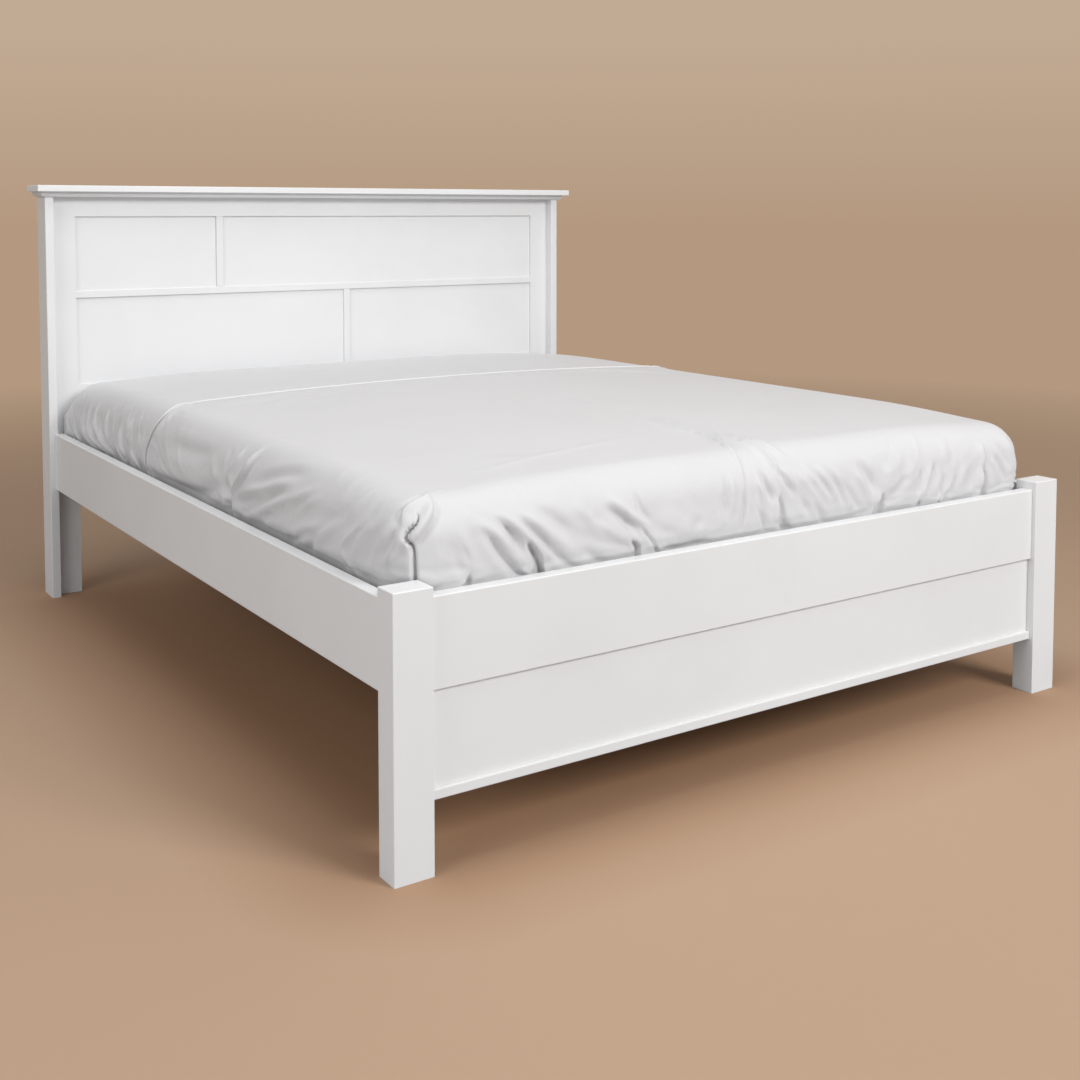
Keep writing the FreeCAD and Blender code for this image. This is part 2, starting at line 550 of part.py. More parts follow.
def foot_post(side):
    post = new_body(f"foot_post_{side}")
    start = across(side, POST_IN, "Dims.foot_post_width")
    block(post, start, FOOT_FACE, "0", "Dims.foot_post_width", "Dims.foot_post_depth", POST_TOP)
    ease_edges(post, "Dims.edge_round", lambda edge, middle: middle.z > 1)
    depth = "(Dims.tenon_length + Dims.hole_spare)"
    block(post, across(side, POST_IN, depth), f"{FOOT_TENON_Y} - Dims.fit_gap",
          f"{RAIL_UNDER} + Dims.tenon_shoulder - Dims.fit_gap", depth,
          "Dims.tenon_thickness + 2 * Dims.fit_gap",
          "Dims.rail_height - 2 * Dims.tenon_shoulder + 2 * Dims.fit_gap", along="x", cut=True)
    block(post, across(side, POST_IN, "Dims.groove_depth"), f"{FOOT_PANEL_FACE} - Dims.fit_gap",
          "Dims.ledge_top - Dims.groove_depth", "Dims.groove_depth",
          "Dims.foot_panel_thickness + 2 * Dims.fit_gap",
          f"{RAIL_UNDER} - Dims.ledge_top + 2 * Dims.groove_depth", along="x", cut=True)
    depth = "(Dims.ledge_tenon_length + Dims.hole_spare)"
    block(post, across(side, POST_IN, depth), f"{FOOT_RAIL_FACE} + Dims.ledge_tenon_inset - Dims.fit_gap",
          f"{LEDGE_UNDER} + Dims.ledge_tenon_lift - Dims.fit_gap", depth,
          "Dims.ledge_depth - 2 * Dims.ledge_tenon_inset + 2 * Dims.fit_gap",
          "Dims.ledge_tenon_height + 2 * Dims.fit_gap", along="x", cut=True)
    bolt = bar(post, across(side, BOLT_IN_END, "0"),
               f"{POST_BACK} - {BOLT_BITE}", BOLT_LEVEL, BOLT_HOLE, BOLT_BITE, "y", cut=True)
    row_of(post, [bolt], "Z", "Dims.bolt_spacing", "2")


def foot_rail():
    """The upper board of the footboard, tenoned into the posts and grooved below for the panel."""
    board = new_body("foot_rail")
    block(board, f"-{POST_IN}", FOOT_RAIL_FACE, RAIL_UNDER, f"2 * {POST_IN}", "Dims.foot_rail_thickness",
          "Dims.rail_height", along="x")
    ease_edges(board, "Dims.edge_round", lambda edge, middle: runs_along(edge, "x"))
    block(board, f"-({POST_IN} + Dims.tenon_length)", FOOT_TENON_Y, f"{RAIL_UNDER} + Dims.tenon_shoulder",
          f"2 * ({POST_IN} + Dims.tenon_length)", "Dims.tenon_thickness",
          "Dims.rail_height - 2 * Dims.tenon_shoulder", along="x")
    block(board, f"-{POST_IN}", f"{FOOT_PANEL_FACE} - Dims.fit_gap", RAIL_UNDER, f"2 * {POST_IN}",
          "Dims.foot_panel_thickness + 2 * Dims.fit_gap", "Dims.groove_depth", along="x", cut=True)
    saddle_screw_holes(board, f"({FOOT_RAIL_BACK} - Dims.saddle_screw_bite)")


def foot_panel():
    board = new_body("foot_panel")
    bite = "(Dims.groove_depth - 2 * Dims.fit_gap)"
    block(board, f"-({POST_IN} + {bite})", FOOT_PANEL_FACE, f"Dims.ledge_top - {bite}",
          f"2 * ({POST_IN} + {bite})", "Dims.foot_panel_thickness",
          f"{RAIL_UNDER} - Dims.ledge_top + 2 * {bite}", along="y")


def foot_ledge():
    """The strip that stands proud under the foot panel and carries it in a groove."""
    board = new_body("foot_ledge")
    block(board, f"-{POST_IN}", FOOT_RAIL_FACE, LEDGE_UNDER, f"2 * {POST_IN}", "Dims.ledge_depth",
          "Dims.ledge_height", along="x")
    ease_edges(board, "Dims.edge_round", lambda edge, middle: runs_along(edge, "x"))
    block(board, f"-({POST_IN} + Dims.ledge_tenon_length)", f"{FOOT_RAIL_FACE} + Dims.ledge_tenon_inset",
          f"{LEDGE_UNDER} + Dims.ledge_tenon_lift", f"2 * ({POST_IN} + Dims.ledge_tenon_length)",
          "Dims.ledge_depth - 2 * Dims.ledge_tenon_inset", "Dims.ledge_tenon_height", along="x")
    block(board, f"-{POST_IN}", f"{FOOT_PANEL_FACE} - Dims.fit_gap", "Dims.ledge_top - Dims.groove_depth",
          f"2 * {POST_IN}", "Dims.foot_panel_thickness + 2 * Dims.fit_gap", "Dims.groove_depth",
          along="x", cut=True)


# ---- side rails, cleats and corner plates --------------------------------------------------------

def side_rail(side):
    """A rail from the foot post to the headboard; its head end is rebated over the side board."""
    board = new_body(f"side_rail_{side}")
    start = across(side, SIDE_RAIL_IN, "Dims.side_rail_thickness")
    block(board, start, POST_BACK, RAIL_UNDER, "Dims.side_rail_thickness", f"{HEAD_FACE} - {POST_BACK}",
          "Dims.rail_height", along="y")
    ease_edges(board, "Dims.edge_round", lambda edge, middle: runs_along(edge, "y"))
    tongue = f"({STILE_OUT} - {SIDE_RAIL_IN} - Dims.fit_gap)"
    block(board, across(side, SIDE_RAIL_IN, tongue), f"{HEAD_FACE} - {OVERLAP}",
          f"{RAIL_UNDER} + Dims.edge_round", tongue,
          f"{STILE_FACE} - {HEAD_FACE} + {OVERLAP}", "Dims.rail_height - 2 * Dims.edge_round", along="y")
    depth = "(Dims.cleat_screw_length - Dims.cleat_width + Dims.hole_spare)"
    screw = bar(board, across(side, SIDE_RAIL_IN, depth), CLEAT_SCREW_FIRST, CLEAT_SCREW_LEVEL,
                SCREW_HOLE, depth, "x", cut=True)
    row_of(board, [screw], "Y", CLEAT_SCREW_RUN, "Dims.cleat_screw_count")
    for place in (f"{POST_BACK} + Dims.corner_bolt_place", f"{STILE_FACE} - Dims.corner_bolt_place"):
        bolt = bar(board, across(side, SIDE_RAIL_IN, BOLT_BITE), place, BOLT_LEVEL,
                   BOLT_HOLE, BOLT_BITE, "x", cut=True)
        row_of(board, [bolt], "Z", "Dims.bolt_spacing", "2")


def slat_cleat(side):
    board = new_body(f"slat_cleat_{side}")
    block(board, across(side, CLEAT_IN, "Dims.cleat_width"), CLEAT_START, CLEAT_UNDER, "Dims.cleat_width",
          f"{CLEAT_END} - {CLEAT_START}", "Dims.cleat_height", along="y")
    screw = bar(board, across(side, CLEAT_IN, "Dims.cleat_width"), CLEAT_SCREW_FIRST,
                CLEAT_SCREW_LEVEL, SCREW_HOLE, "Dims.cleat_width", "x", cut=True)
    row_of(board, [screw], "Y", CLEAT_SCREW_RUN, "Dims.cleat_screw_count")
    depth = "(Dims.slat_screw_length - Dims.slat_thickness + Dims.hole_spare)"
    pilot = bar(board, across(side, SLAT_SCREW_X, "0"), SLAT_FIRST, f"{SLAT_UNDER} - {depth}",
                SCREW_HOLE, depth, "z", cut=True)
    row_of(board, [pilot], "Y", SLAT_RUN, "Dims.slat_count")


def corner_plate(side, end):
    """A bent steel plate inside one corner: one leg on the side rail, one on the post or the stile."""
    plate = new_body(f"corner_plate_{end}_{side}")
    thick = "Dims.plate_thickness"
    face = POST_BACK if end == "foot" else STILE_FACE
    rail_leg_y = face if end == "foot" else f"({face} - Dims.corner_leg)"
    end_leg_y = face if end == "foot" else f"({face} - {thick})"
    block(plate, across(side, f"({SIDE_RAIL_IN} - {thick})", thick), rail_leg_y, CORNER_LEVEL, thick,
          "Dims.corner_leg", "Dims.corner_height")
    block(plate, across(side, f"({SIDE_RAIL_IN} - Dims.corner_reach)", "Dims.corner_reach"), end_leg_y,
          CORNER_LEVEL, "Dims.corner_reach", thick, "Dims.corner_height")
    leg_place = f"{face} + Dims.corner_bolt_place" if end == "foot" else f"{face} - Dims.corner_bolt_place"
    through_rail_leg = bar(plate, across(side, f"({SIDE_RAIL_IN} - {thick})", thick), leg_place,
                           BOLT_LEVEL, BOLT_HOLE, thick, "x", cut=True)
    through_end_leg = bar(plate, across(side, BOLT_IN_END, "0"), end_leg_y,
                          BOLT_LEVEL, BOLT_HOLE, thick, "y", cut=True)
    row_of(plate, [through_rail_leg, through_end_leg], "Z", "Dims.bolt_spacing", "2")


def turn(body, drawing, axis="H_Axis"):
    """Turns a half outline once round one axis of its sketch."""
    turned = body.newObject("PartDesign::Revolution", f"{body.Name}_turned")
    turned.Profile = drawing
    turned.ReferenceAxis = (drawing, [axis])
    turned.Angle = 360
    return turned


def pan_head(body, x, y, z, towards, shank, head, crown, length):
    """A screw or bolt with a flat seat at x, y, z; its shank runs towards +x, +y or -y."""
    drawing = sketch_at(body, "z" if towards == "+x" else "x", x, y, z)
    sign = -1 if towards == "-y" else 1
    back, front = f"({-sign} * {crown})", f"({sign} * {length})"
    head_radius, shank_radius = f"({head} / 2)", f"({shank} / 2)"
    draw_outline(drawing, [(back, None), (back, head_radius), (None, head_radius), (None, shank_radius),
                           (front, shank_radius), (front, None)])
    return turn(body, drawing)


def corner_bolts():
    bolts = new_body("corner_bolts")
    inner = f"({SIDE_RAIL_IN} - Dims.plate_thickness)"
    turned = [
        pan_head(bolts, x, y, BOLT_LEVEL, towards, "Dims.bolt_diameter", "Dims.bolt_head_diameter",
                 "Dims.bolt_head_height", "Dims.bolt_length")
        for x, y, towards in (
            (inner, f"{POST_BACK} + Dims.corner_bolt_place", "+x"),
            (inner, f"{STILE_FACE} - Dims.corner_bolt_place", "+x"),
            (BOLT_IN_END, f"{POST_BACK} + Dims.plate_thickness", "-y"),
            (BOLT_IN_END, f"{STILE_FACE} - Dims.plate_thickness", "+y"),
        )
    ]
    row_of(bolts, turned, "Z", "Dims.bolt_spacing", "2", mirror="YZ_Plane")


def cleat_screws():
    """Screws that hold the cleats to the side rails, with their heads let into the cleat."""
    screws = new_body("cleat_screws")
    drawing = sketch_at(screws, "z", CLEAT_IN, CLEAT_SCREW_FIRST, CLEAT_SCREW_LEVEL)
    shank = "(Dims.screw_diameter / 2)"
    tip = "(Dims.screw_point_diameter / 2)"
    length = "Dims.cleat_screw_length"
    draw_outline(drawing, [(None, None), (None, shank), (f"{length} - Dims.screw_point_length", shank),
                           (length, tip), (length, None)])
    row_of(screws, [turn(screws, drawing)], "Y", CLEAT_SCREW_RUN, "Dims.cleat_screw_count",
           mirror="YZ_Plane")


# ---- slatted base --------------------------------------------------------------------------------

def slat(number):
    board = new_body(f"slat_{number + 1:02d}")
    middle = f"({SLAT_FIRST} + {number} * {SLAT_SPACING})"
    block(board, f"-{SLAT_HALF}", f"{middle} - Dims.slat_width / 2", SLAT_UNDER, f"2 * {SLAT_HALF}",
          "Dims.slat_width", "Dims.slat_thickness", along="x")
    ease_edges(board, "Dims.slat_round", lambda edge, middle: runs_along(edge, "x"))
    for side in ("left", "right"):
        bar(board, across(side, SLAT_SCREW_X, "0"), middle, SLAT_UNDER, SCREW_HOLE,
            "Dims.slat_thickness", "z", cut=True)
    doc.recompute()
    tip = board.Tip
    top = tip.Shape.BoundBox.ZMax
    rims = [f"Edge{k}" for k, edge in enumerate(tip.Shape.Edges, start=1)
            if edge.Curve.TypeId == "Part::GeomCircle" and abs(edge.CenterOfMass.z - top) < 1e-4]
    sink = board.newObject("PartDesign::Chamfer", f"{board.Name}_sink")
    sink.Base = (tip, rims)
    sink.setExpression("Size", SINK)


def slat_screws():
    """Countersunk screws, one in each end of each slat."""
    screws = new_body("slat_screws")
    shank = "(Dims.screw_diameter / 2)"
    head = "(Dims.screw_head_diameter / 2)"
    tip = "(Dims.screw_point_diameter / 2)"
    turned = []
    for side in ("left", "right"):
        drawing = sketch_at(screws, "y", across(side, SLAT_SCREW_X, "0"), SLAT_FIRST,
                            f"{SLAT_TOP} - Dims.fit_gap")
        draw_outline(drawing, [(None, None), (head, None), (shank, f"-{SINK}"),
                               (shank, "-(Dims.slat_screw_length - Dims.screw_point_length)"),
                               (tip, "-Dims.slat_screw_length"), (None, "-Dims.slat_screw_length")])
        turned.append(turn(screws, drawing, "V_Axis"))
    row_of(screws, turned, "Y", SLAT_RUN, "Dims.slat_count")


def centre_beam():
    beam = new_body("centre_beam")
    start = f"({FOOT_RAIL_BACK} + Dims.plate_thickness + Dims.beam_end_gap)"
    end = f"({STILE_FACE} - Dims.plate_thickness - Dims.beam_end_gap)"
    block(beam, "-Dims.beam_width / 2", start, BEAM_UNDER, "Dims.beam_width", f"{end} - {start}",
          "Dims.beam_height", along="y")
    for place in ("-Dims.leg_spread / 2", "Dims.leg_spread / 2"):
        bar(beam, "0", place, BEAM_UNDER, BOLT_HOLE, "Dims.leg_bolt_length / 2 + Dims.hole_spare",
            "z", cut=True)


def saddle_screw_holes(board, start):
    """Pilot holes for the four screws of a beam saddle."""
    holes = [bar(board, across(side, SADDLE_SCREW_X, "0"), start, SADDLE_SCREW_LEVEL,
                 SCREW_HOLE, "Dims.saddle_screw_bite", "y", cut=True)
             for side in ("left", "right")]
    row_of(board, holes, "Z", "Dims.saddle_screw_spacing", "2")


def beam_saddle(end):
    """A steel cradle that holds one end of the centre beam: back plate, seat and two cheeks."""
    saddle = new_body(f"beam_saddle_{end}")
    thick = "Dims.plate_thickness"
    cheek = "(Dims.beam_width / 2 + Dims.fit_gap)"
    half = f"({cheek} + {thick} + Dims.saddle_ear)"
    base = f"({BEAM_UNDER} - {thick})"
    height = f"(Dims.beam_height + {thick} - Dims.saddle_drop)"
    back = FOOT_RAIL_BACK if end == "foot" else f"({STILE_FACE} - {thick})"
    arm = back if end == "foot" else f"({STILE_FACE} - Dims.saddle_length)"
    block(saddle, f"-{half}", back, base, f"2 * {half}", thick, height)
    block(saddle, f"-({cheek} + {thick})", arm, base, f"2 * ({cheek} + {thick})", "Dims.saddle_length",
          height)
    open_end = f"{back} + {thick}" if end == "foot" else f"{arm} - {OVERLAP}"
    block(saddle, f"-{cheek}", open_end, BEAM_UNDER, f"2 * {cheek}",
          f"Dims.saddle_length - {thick} + {OVERLAP}", "Dims.beam_height", cut=True)
    holes = [bar(saddle, across(side, SADDLE_SCREW_X, "0"), back, SADDLE_SCREW_LEVEL,
                 SCREW_HOLE, thick, "y", cut=True) for side in ("left", "right")]
    row_of(saddle, holes, "Z", "Dims.saddle_screw_spacing", "2")


def saddle_screws():
    """Pan-head screws, four in each saddle."""
    screws = new_body("saddle_screws")
    turned = [
        pan_head(screws, across(side, SADDLE_SCREW_X, "0"), face, SADDLE_SCREW_LEVEL, towards,
                 "Dims.screw_diameter", "Dims.screw_head_diameter", "Dims.screw_diameter / 2",
                 "(Dims.saddle_screw_bite + Dims.plate_thickness - Dims.hole_spare)")
        for side in ("left", "right")
        for face, towards in ((f"({FOOT_RAIL_BACK} + Dims.plate_thickness)", "-y"),
                              (f"({STILE_FACE} - Dims.plate_thickness)", "+y"))
    ]
    row_of(screws, turned, "Z", "Dims.saddle_screw_spacing", "2")


def centre_leg(label, middle):
    leg = new_body(label)
    block(leg, "-Dims.leg_size / 2", f"{middle} - Dims.leg_size / 2", "Dims.glide_height",
          "Dims.leg_size", "Dims.leg_size", f"{BEAM_UNDER} - Dims.glide_height")
    ease_edges(leg, "Dims.edge_round", lambda edge, middle: runs_along(edge, "z"))
    depth = "(Dims.leg_bolt_length / 2 + Dims.hole_spare)"
    bar(leg, "0", middle, f"{BEAM_UNDER} - {depth}", BOLT_HOLE, depth, "z", cut=True)
    bar(leg, "0", middle, "Dims.glide_height", SCREW_HOLE, "Dims.glide_pin + Dims.hole_spare", "z",
        cut=True)


def leg_bolts():
    bolts = new_body("leg_bolts")
    bolt = bar(bolts, "0", "Dims.leg_spread / 2", f"{BEAM_UNDER} - Dims.leg_bolt_length / 2",
               "Dims.bolt_diameter", "Dims.leg_bolt_length", "z")
    mirrored(bolts, bolt, "XZ_Plane")


def leg_glides():
    """A plastic foot with a pin, pressed into the bottom of each centre leg."""
    glides = new_body("leg_glides")
    drawing = sketch_at(glides, "y", "0", "Dims.leg_spread / 2", "0")
    rim = "(Dims.glide_diameter / 2)"
    sole = f"({rim} - Dims.glide_height / 2)"
    pin = "(Dims.screw_diameter / 2)"
    top, pin_top = "Dims.glide_height", "Dims.glide_height + Dims.glide_pin"
    draw_outline(drawing, [(None, None), (sole, None), (rim, "Dims.glide_height / 2"), (rim, top),
                           (pin, top), (pin, pin_top), (None, pin_top)])
    mirrored(glides, turn(glides, drawing, "V_Axis"), "XZ_Plane")


# ---- mattress and sheets -------------------------------------------------------------------------

def size(alias):
    return float(sheet.get(alias))


def soft_profile():
    """The side of the mattress as (inset, height, spread) stations from the base to the crown.
    The spread says how much of a fold's full depth shows there: 1 at the rim, 0 on top."""
    base, top = size("mattress_base_round"), size("mattress_top_round")
    height, crown, bulge = size("mattress_height"), size("mattress_crown"), size("mattress_bulge")
    half_turn = math.pi / 2
    stations = []
    for k in range(3):
        turn = half_turn * k / 3
        stations.append((base * (1 - math.sin(turn)), base * (1 - math.cos(turn)), 1.0))
    side = height - base - top
    for k in range(5):
        share = k / 4
        swell = bulge * math.sin(math.pi * share)
        stations.append((-swell, base + side * share, 1 - (1 - EDGE_SPREAD) * share))
    for k in range(1, 6):
        turn = half_turn * k / 6
        stations.append((top * (1 - math.cos(turn)), height - top + top * math.sin(turn),
                         EDGE_SPREAD * (1 - k / 5)))
    reach = size("mattress_width") / 2 - top
    for share in CROWN_STEPS:
        rise = crown * (1 - (1 - share) ** 2)
        stations.append((top + reach * share, height + rise, 0.0))
    return stations


def mattress_corner():
    """Corner radius of the mattress seen from above; it keeps the corners clear of the foot posts."""
    post_reach = size("foot_post_width") - size("side_rail_setback") - size("side_rail_thickness")
    return post_reach - size("mattress_side_gap") + size("mattress_corner_gap")


def outline(offset, inset, level, spread, folds):
    """A closed outline at one level: four drawn-in sides and four corner arcs. Each fold of the
    cloth is an arc that stands out of its side."""
    half_x = size("mattress_width") / 2 + offset - inset
    half_y = size("mattress_length") / 2 + offset - inset
    corner = max(mattress_corner() + offset - inset, size("mattress_smallest_corner"))
    pull = size("mattress_pull")
    rim = Vector(0, 0, level)
    sides = {
        "right": (Vector(half_x, 0, 0), Vector(0, 1, 0), half_y - corner, size("mattress_length") / 2),
        "head": (Vector(0, half_y, 0), Vector(-1, 0, 0), half_x - corner, size("mattress_width") / 2),
        "left": (Vector(-half_x, 0, 0), Vector(0, -1, 0), half_y - corner, size("mattress_length") / 2),
        "foot": (Vector(0, -half_y, 0), Vector(1, 0, 0), half_x - corner, size("mattress_width") / 2),
    }
    edges = []
    names = list(sides)
    for number, name in enumerate(names):
        middle, along, half, full = sides[name]
        out = Vector(along.y, -along.x, 0)
        shrink = half / (full - mattress_corner())

        def at(place, proud=0.0):
            drawn_in = pull * (1 - (place / half) ** 2)
            return rim + middle + along * place + out * (proud - drawn_in)

        def stretch(start, end, proud=0.0):
            return Part.Arc(at(start), at((start + end) / 2, proud), at(end)).toShape()

        reached = -half
        for place, width, depth, lean in folds.get(name, ()):
            centre = place * half + lean * spread * shrink
            start, end = centre - width * shrink / 2, centre + width * shrink / 2
            edges.append(stretch(reached, start))
            edges.append(stretch(start, end, depth * spread))
            reached = end
        edges.append(stretch(reached, half))
        following, next_along, next_half, _ = sides[names[(number + 1) % 4]]
        first, last = at(half), rim + following - next_along * next_half
        diagonal = out + along
        turn_centre = first - out * corner
        edges.append(Part.Arc(first, turn_centre + diagonal.normalize() * corner, last).toShape())
    return Part.Wire(edges)


def soft_solid(offset, folds=None, drape=0.0, base_lift=0.0):
    """A closed form in the mattress's shape, offset outwards on its sides and top."""
    wires = []
    for inset, height, spread in soft_profile():
        level = height + (offset if height > size("mattress_height") / 2 else base_lift)
        wires.append(outline(offset + drape * spread, inset, level, spread, folds or {}))
    return Part.makeLoft(wires, True, True)


def soft_feature(label, shape):
    """Puts a soft form on the slats, midway between the footboard and the headboard."""
    feature = doc.addObject("Part::Feature", label)
    feature.Label = label
    feature.Shape = shape
    foot_part = size("foot_rail_setback") + size("foot_rail_thickness")
    head_part = size("head_side_depth") - size("stile_setback")
    slat_top = size("rail_top") - size("rail_height") + size("slat_lift")
    middle = Vector(0, (foot_part - head_part) / 2, slat_top + size("bed_gap"))
    feature.Placement = FreeCAD.Placement(middle, FreeCAD.Rotation())
    bodies.append(feature)
    return feature


def mattress():
    """A padded case; the springs in its middle are nearly all air, so that space is left open."""
    padding = size("padding_thickness")
    hollow = soft_solid(-padding, base_lift=padding)
    soft_feature("mattress", soft_solid(0.0).cut(hollow))


def cloth_layer(label, inner, folds, drape, head_end):
    """A sheet over the mattress: a fold-carrying outer form less the form under it. It ends at
    head_end, measured along the bed, and stops short of the slats."""
    outer = soft_solid(inner + size("cloth_thickness"), folds, drape)
    under = soft_solid(inner)
    lowest = size("cloth_hem_lift")
    start = Vector(-size("mattress_width"), -size("mattress_length"), lowest)
    room = Part.makeBox(2 * size("mattress_width"), size("mattress_length") + head_end,
                        2 * size("mattress_height"), start)
    soft_feature(label, outer.cut(under).common(room))


def fitted_sheet():
    cloth_layer("fitted_sheet", size("bed_gap"), FOLDS["fitted"], 0.0, size("mattress_length"))


def top_sheet():
    """Covers the bed from the turn-down to the foot; it hangs between the mattress and the rails."""
    inner = 2 * size("bed_gap") + size("cloth_thickness")
    cloth_layer("top_sheet", inner, FOLDS["top"], size("cloth_drape"),
                size("mattress_length") / 2 - size("turn_down"))


# ---- the bed -------------------------------------------------------------------------------------

def build():
    for side in ("left", "right"):
        head_side_board(side)
        head_stile(side)
        foot_post(side)
        side_rail(side)
        slat_cleat(side)
        corner_plate(side, "foot")
        corner_plate(side, "head")
    head_top_rail()
    head_bottom_rail()
    head_support_rail()
    head_panel()
    head_strip("head_strip_horizontal", f"-{STILE_IN}", "Dims.strip_level", f"2 * {STILE_IN}",
               "Dims.strip_width", "x")
    head_strip("head_strip_upper", "-Dims.upper_strip_left - Dims.strip_width", STRIP_TOP,
               "Dims.strip_width", f"{TOP_RAIL_UNDER} - {STRIP_TOP}", "z")
    head_strip("head_strip_lower", "Dims.lower_strip_right", "Dims.bottom_rail_top", "Dims.strip_width",
               "Dims.strip_level - Dims.bottom_rail_top", "z")
    head_cap_moulding()
    head_cap()
    side_board_dowels()
    cap_dowels()
    foot_rail()
    foot_panel()
    foot_ledge()
    corner_bolts()
    cleat_screws()
    for number in range(int(size("slat_count"))):
        slat(number)
    slat_screws()
    centre_beam()
    beam_saddle("foot")
    beam_saddle("head")
    saddle_screws()
    centre_leg("centre_leg_foot", "(-Dims.leg_spread / 2)")
    centre_leg("centre_leg_head", "(Dims.leg_spread / 2)")
    leg_bolts()
    leg_glides()
    mattress()
    fitted_sheet()
    top_sheet()
    doc.recompute()


def check():
    """Stops if any object failed, if a cut took nothing away, or if a piece is not a sound solid."""
    for item in doc.Objects:
        if "Invalid" in item.State or "Error" in item.State:
            raise RuntimeError(f"{item.Label} failed: {item.State}")
        if item.TypeId == "PartDesign::Pocket" and item.BaseFeature is not None:
            if item.Shape.Volume > item.BaseFeature.Shape.Volume - 1:
                raise RuntimeError(f"{item.Label} cuts nothing")
    for item in bodies:
        if item.Shape.isNull() or not item.Shape.isValid() or not item.Shape.Solids:
            raise RuntimeError(f"{item.Label} is not a sound solid")


def export():
    os.makedirs("parts", exist_ok=True)
    for item in bodies:
        item.Shape.exportStep(f"parts/{item.Label}.step")
        print(f"{item.Label}: {len(item.Shape.Solids)} solid(s), {item.Shape.Volume / 1e3:.1f} cm3")


build()
check()
export()
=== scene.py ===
"""A white painted double panel bed, made up with a fitted sheet and a top sheet."""

import math

import bpy
import numpy as np
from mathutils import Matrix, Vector
from mathutils.geometry import delaunay_2d_cdt


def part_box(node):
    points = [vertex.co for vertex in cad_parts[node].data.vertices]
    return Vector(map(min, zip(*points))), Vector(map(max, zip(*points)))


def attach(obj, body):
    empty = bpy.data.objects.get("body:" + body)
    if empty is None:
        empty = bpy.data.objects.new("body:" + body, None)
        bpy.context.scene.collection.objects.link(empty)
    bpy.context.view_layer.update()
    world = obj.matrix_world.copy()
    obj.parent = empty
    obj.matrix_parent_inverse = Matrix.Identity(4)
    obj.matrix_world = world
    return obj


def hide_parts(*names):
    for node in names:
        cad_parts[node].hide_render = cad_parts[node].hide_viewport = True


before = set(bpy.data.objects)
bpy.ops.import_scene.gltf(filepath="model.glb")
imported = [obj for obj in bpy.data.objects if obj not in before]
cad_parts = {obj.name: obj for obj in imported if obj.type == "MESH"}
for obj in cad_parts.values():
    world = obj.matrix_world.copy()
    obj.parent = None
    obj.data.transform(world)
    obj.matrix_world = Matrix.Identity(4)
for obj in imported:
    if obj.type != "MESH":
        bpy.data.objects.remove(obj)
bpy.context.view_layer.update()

bl_info = {
    "name": "Panel bed",
    "version": (1, 0, 0),
    "blender": (4, 5, 0),
    "location": "3D View > Sidebar > Panel bed",
    "description": "Paints the boards of a panel bed, makes its bedding and sets the stage",
    "category": "Add Mesh",
}

PAINTED = [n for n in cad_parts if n.startswith(("head_", "foot_", "side_rail"))]
BARE_WOOD = [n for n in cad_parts
             if n.startswith(("slat_0", "slat_1", "slat_cleat", "centre_", "side_board_d", "cap_d"))]
STEEL = [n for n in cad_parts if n.endswith(("_screws", "_bolts"))
         or n.startswith(("corner_plate", "beam_saddle"))]
GLIDES = ["leg_glides"]
LONG_AXIS = {"x": (0.0, 0.0, math.pi / 2), "y": (0.0, 0.0, 0.0), "z": (math.pi / 2, 0.0, 0.0)}


# ---- sizes and colours -------------------------------------------------------------------

class BoardSettings(bpy.types.PropertyGroup):
    """Paint, wood, steel and plastic of the bed's boards and fittings."""

    paint_colour: bpy.props.FloatVectorProperty(
        name="Paint", description="Colour of the painted boards", subtype="COLOR",
        size=3, min=0, max=1, default=(0.793, 0.800, 0.812))
    paint_roughness: bpy.props.FloatProperty(
        name="Paint roughness", description="Satin sheen of the paint", min=0, max=1, default=0.38)
    wood_colour: bpy.props.FloatVectorProperty(
        name="Wood", description="Colour of the bare softwood", subtype="COLOR",
        size=3, min=0, max=1, default=(0.64, 0.45, 0.26))
    steel_colour: bpy.props.FloatVectorProperty(
        name="Steel", description="Colour of the zinc-plated steel", subtype="COLOR",
        size=3, min=0, max=1, default=(0.62, 0.63, 0.64))
    plastic_colour: bpy.props.FloatVectorProperty(
        name="Glides", description="Colour of the glides under the legs", subtype="COLOR",
        size=3, min=0, max=1, default=(0.03, 0.03, 0.032))


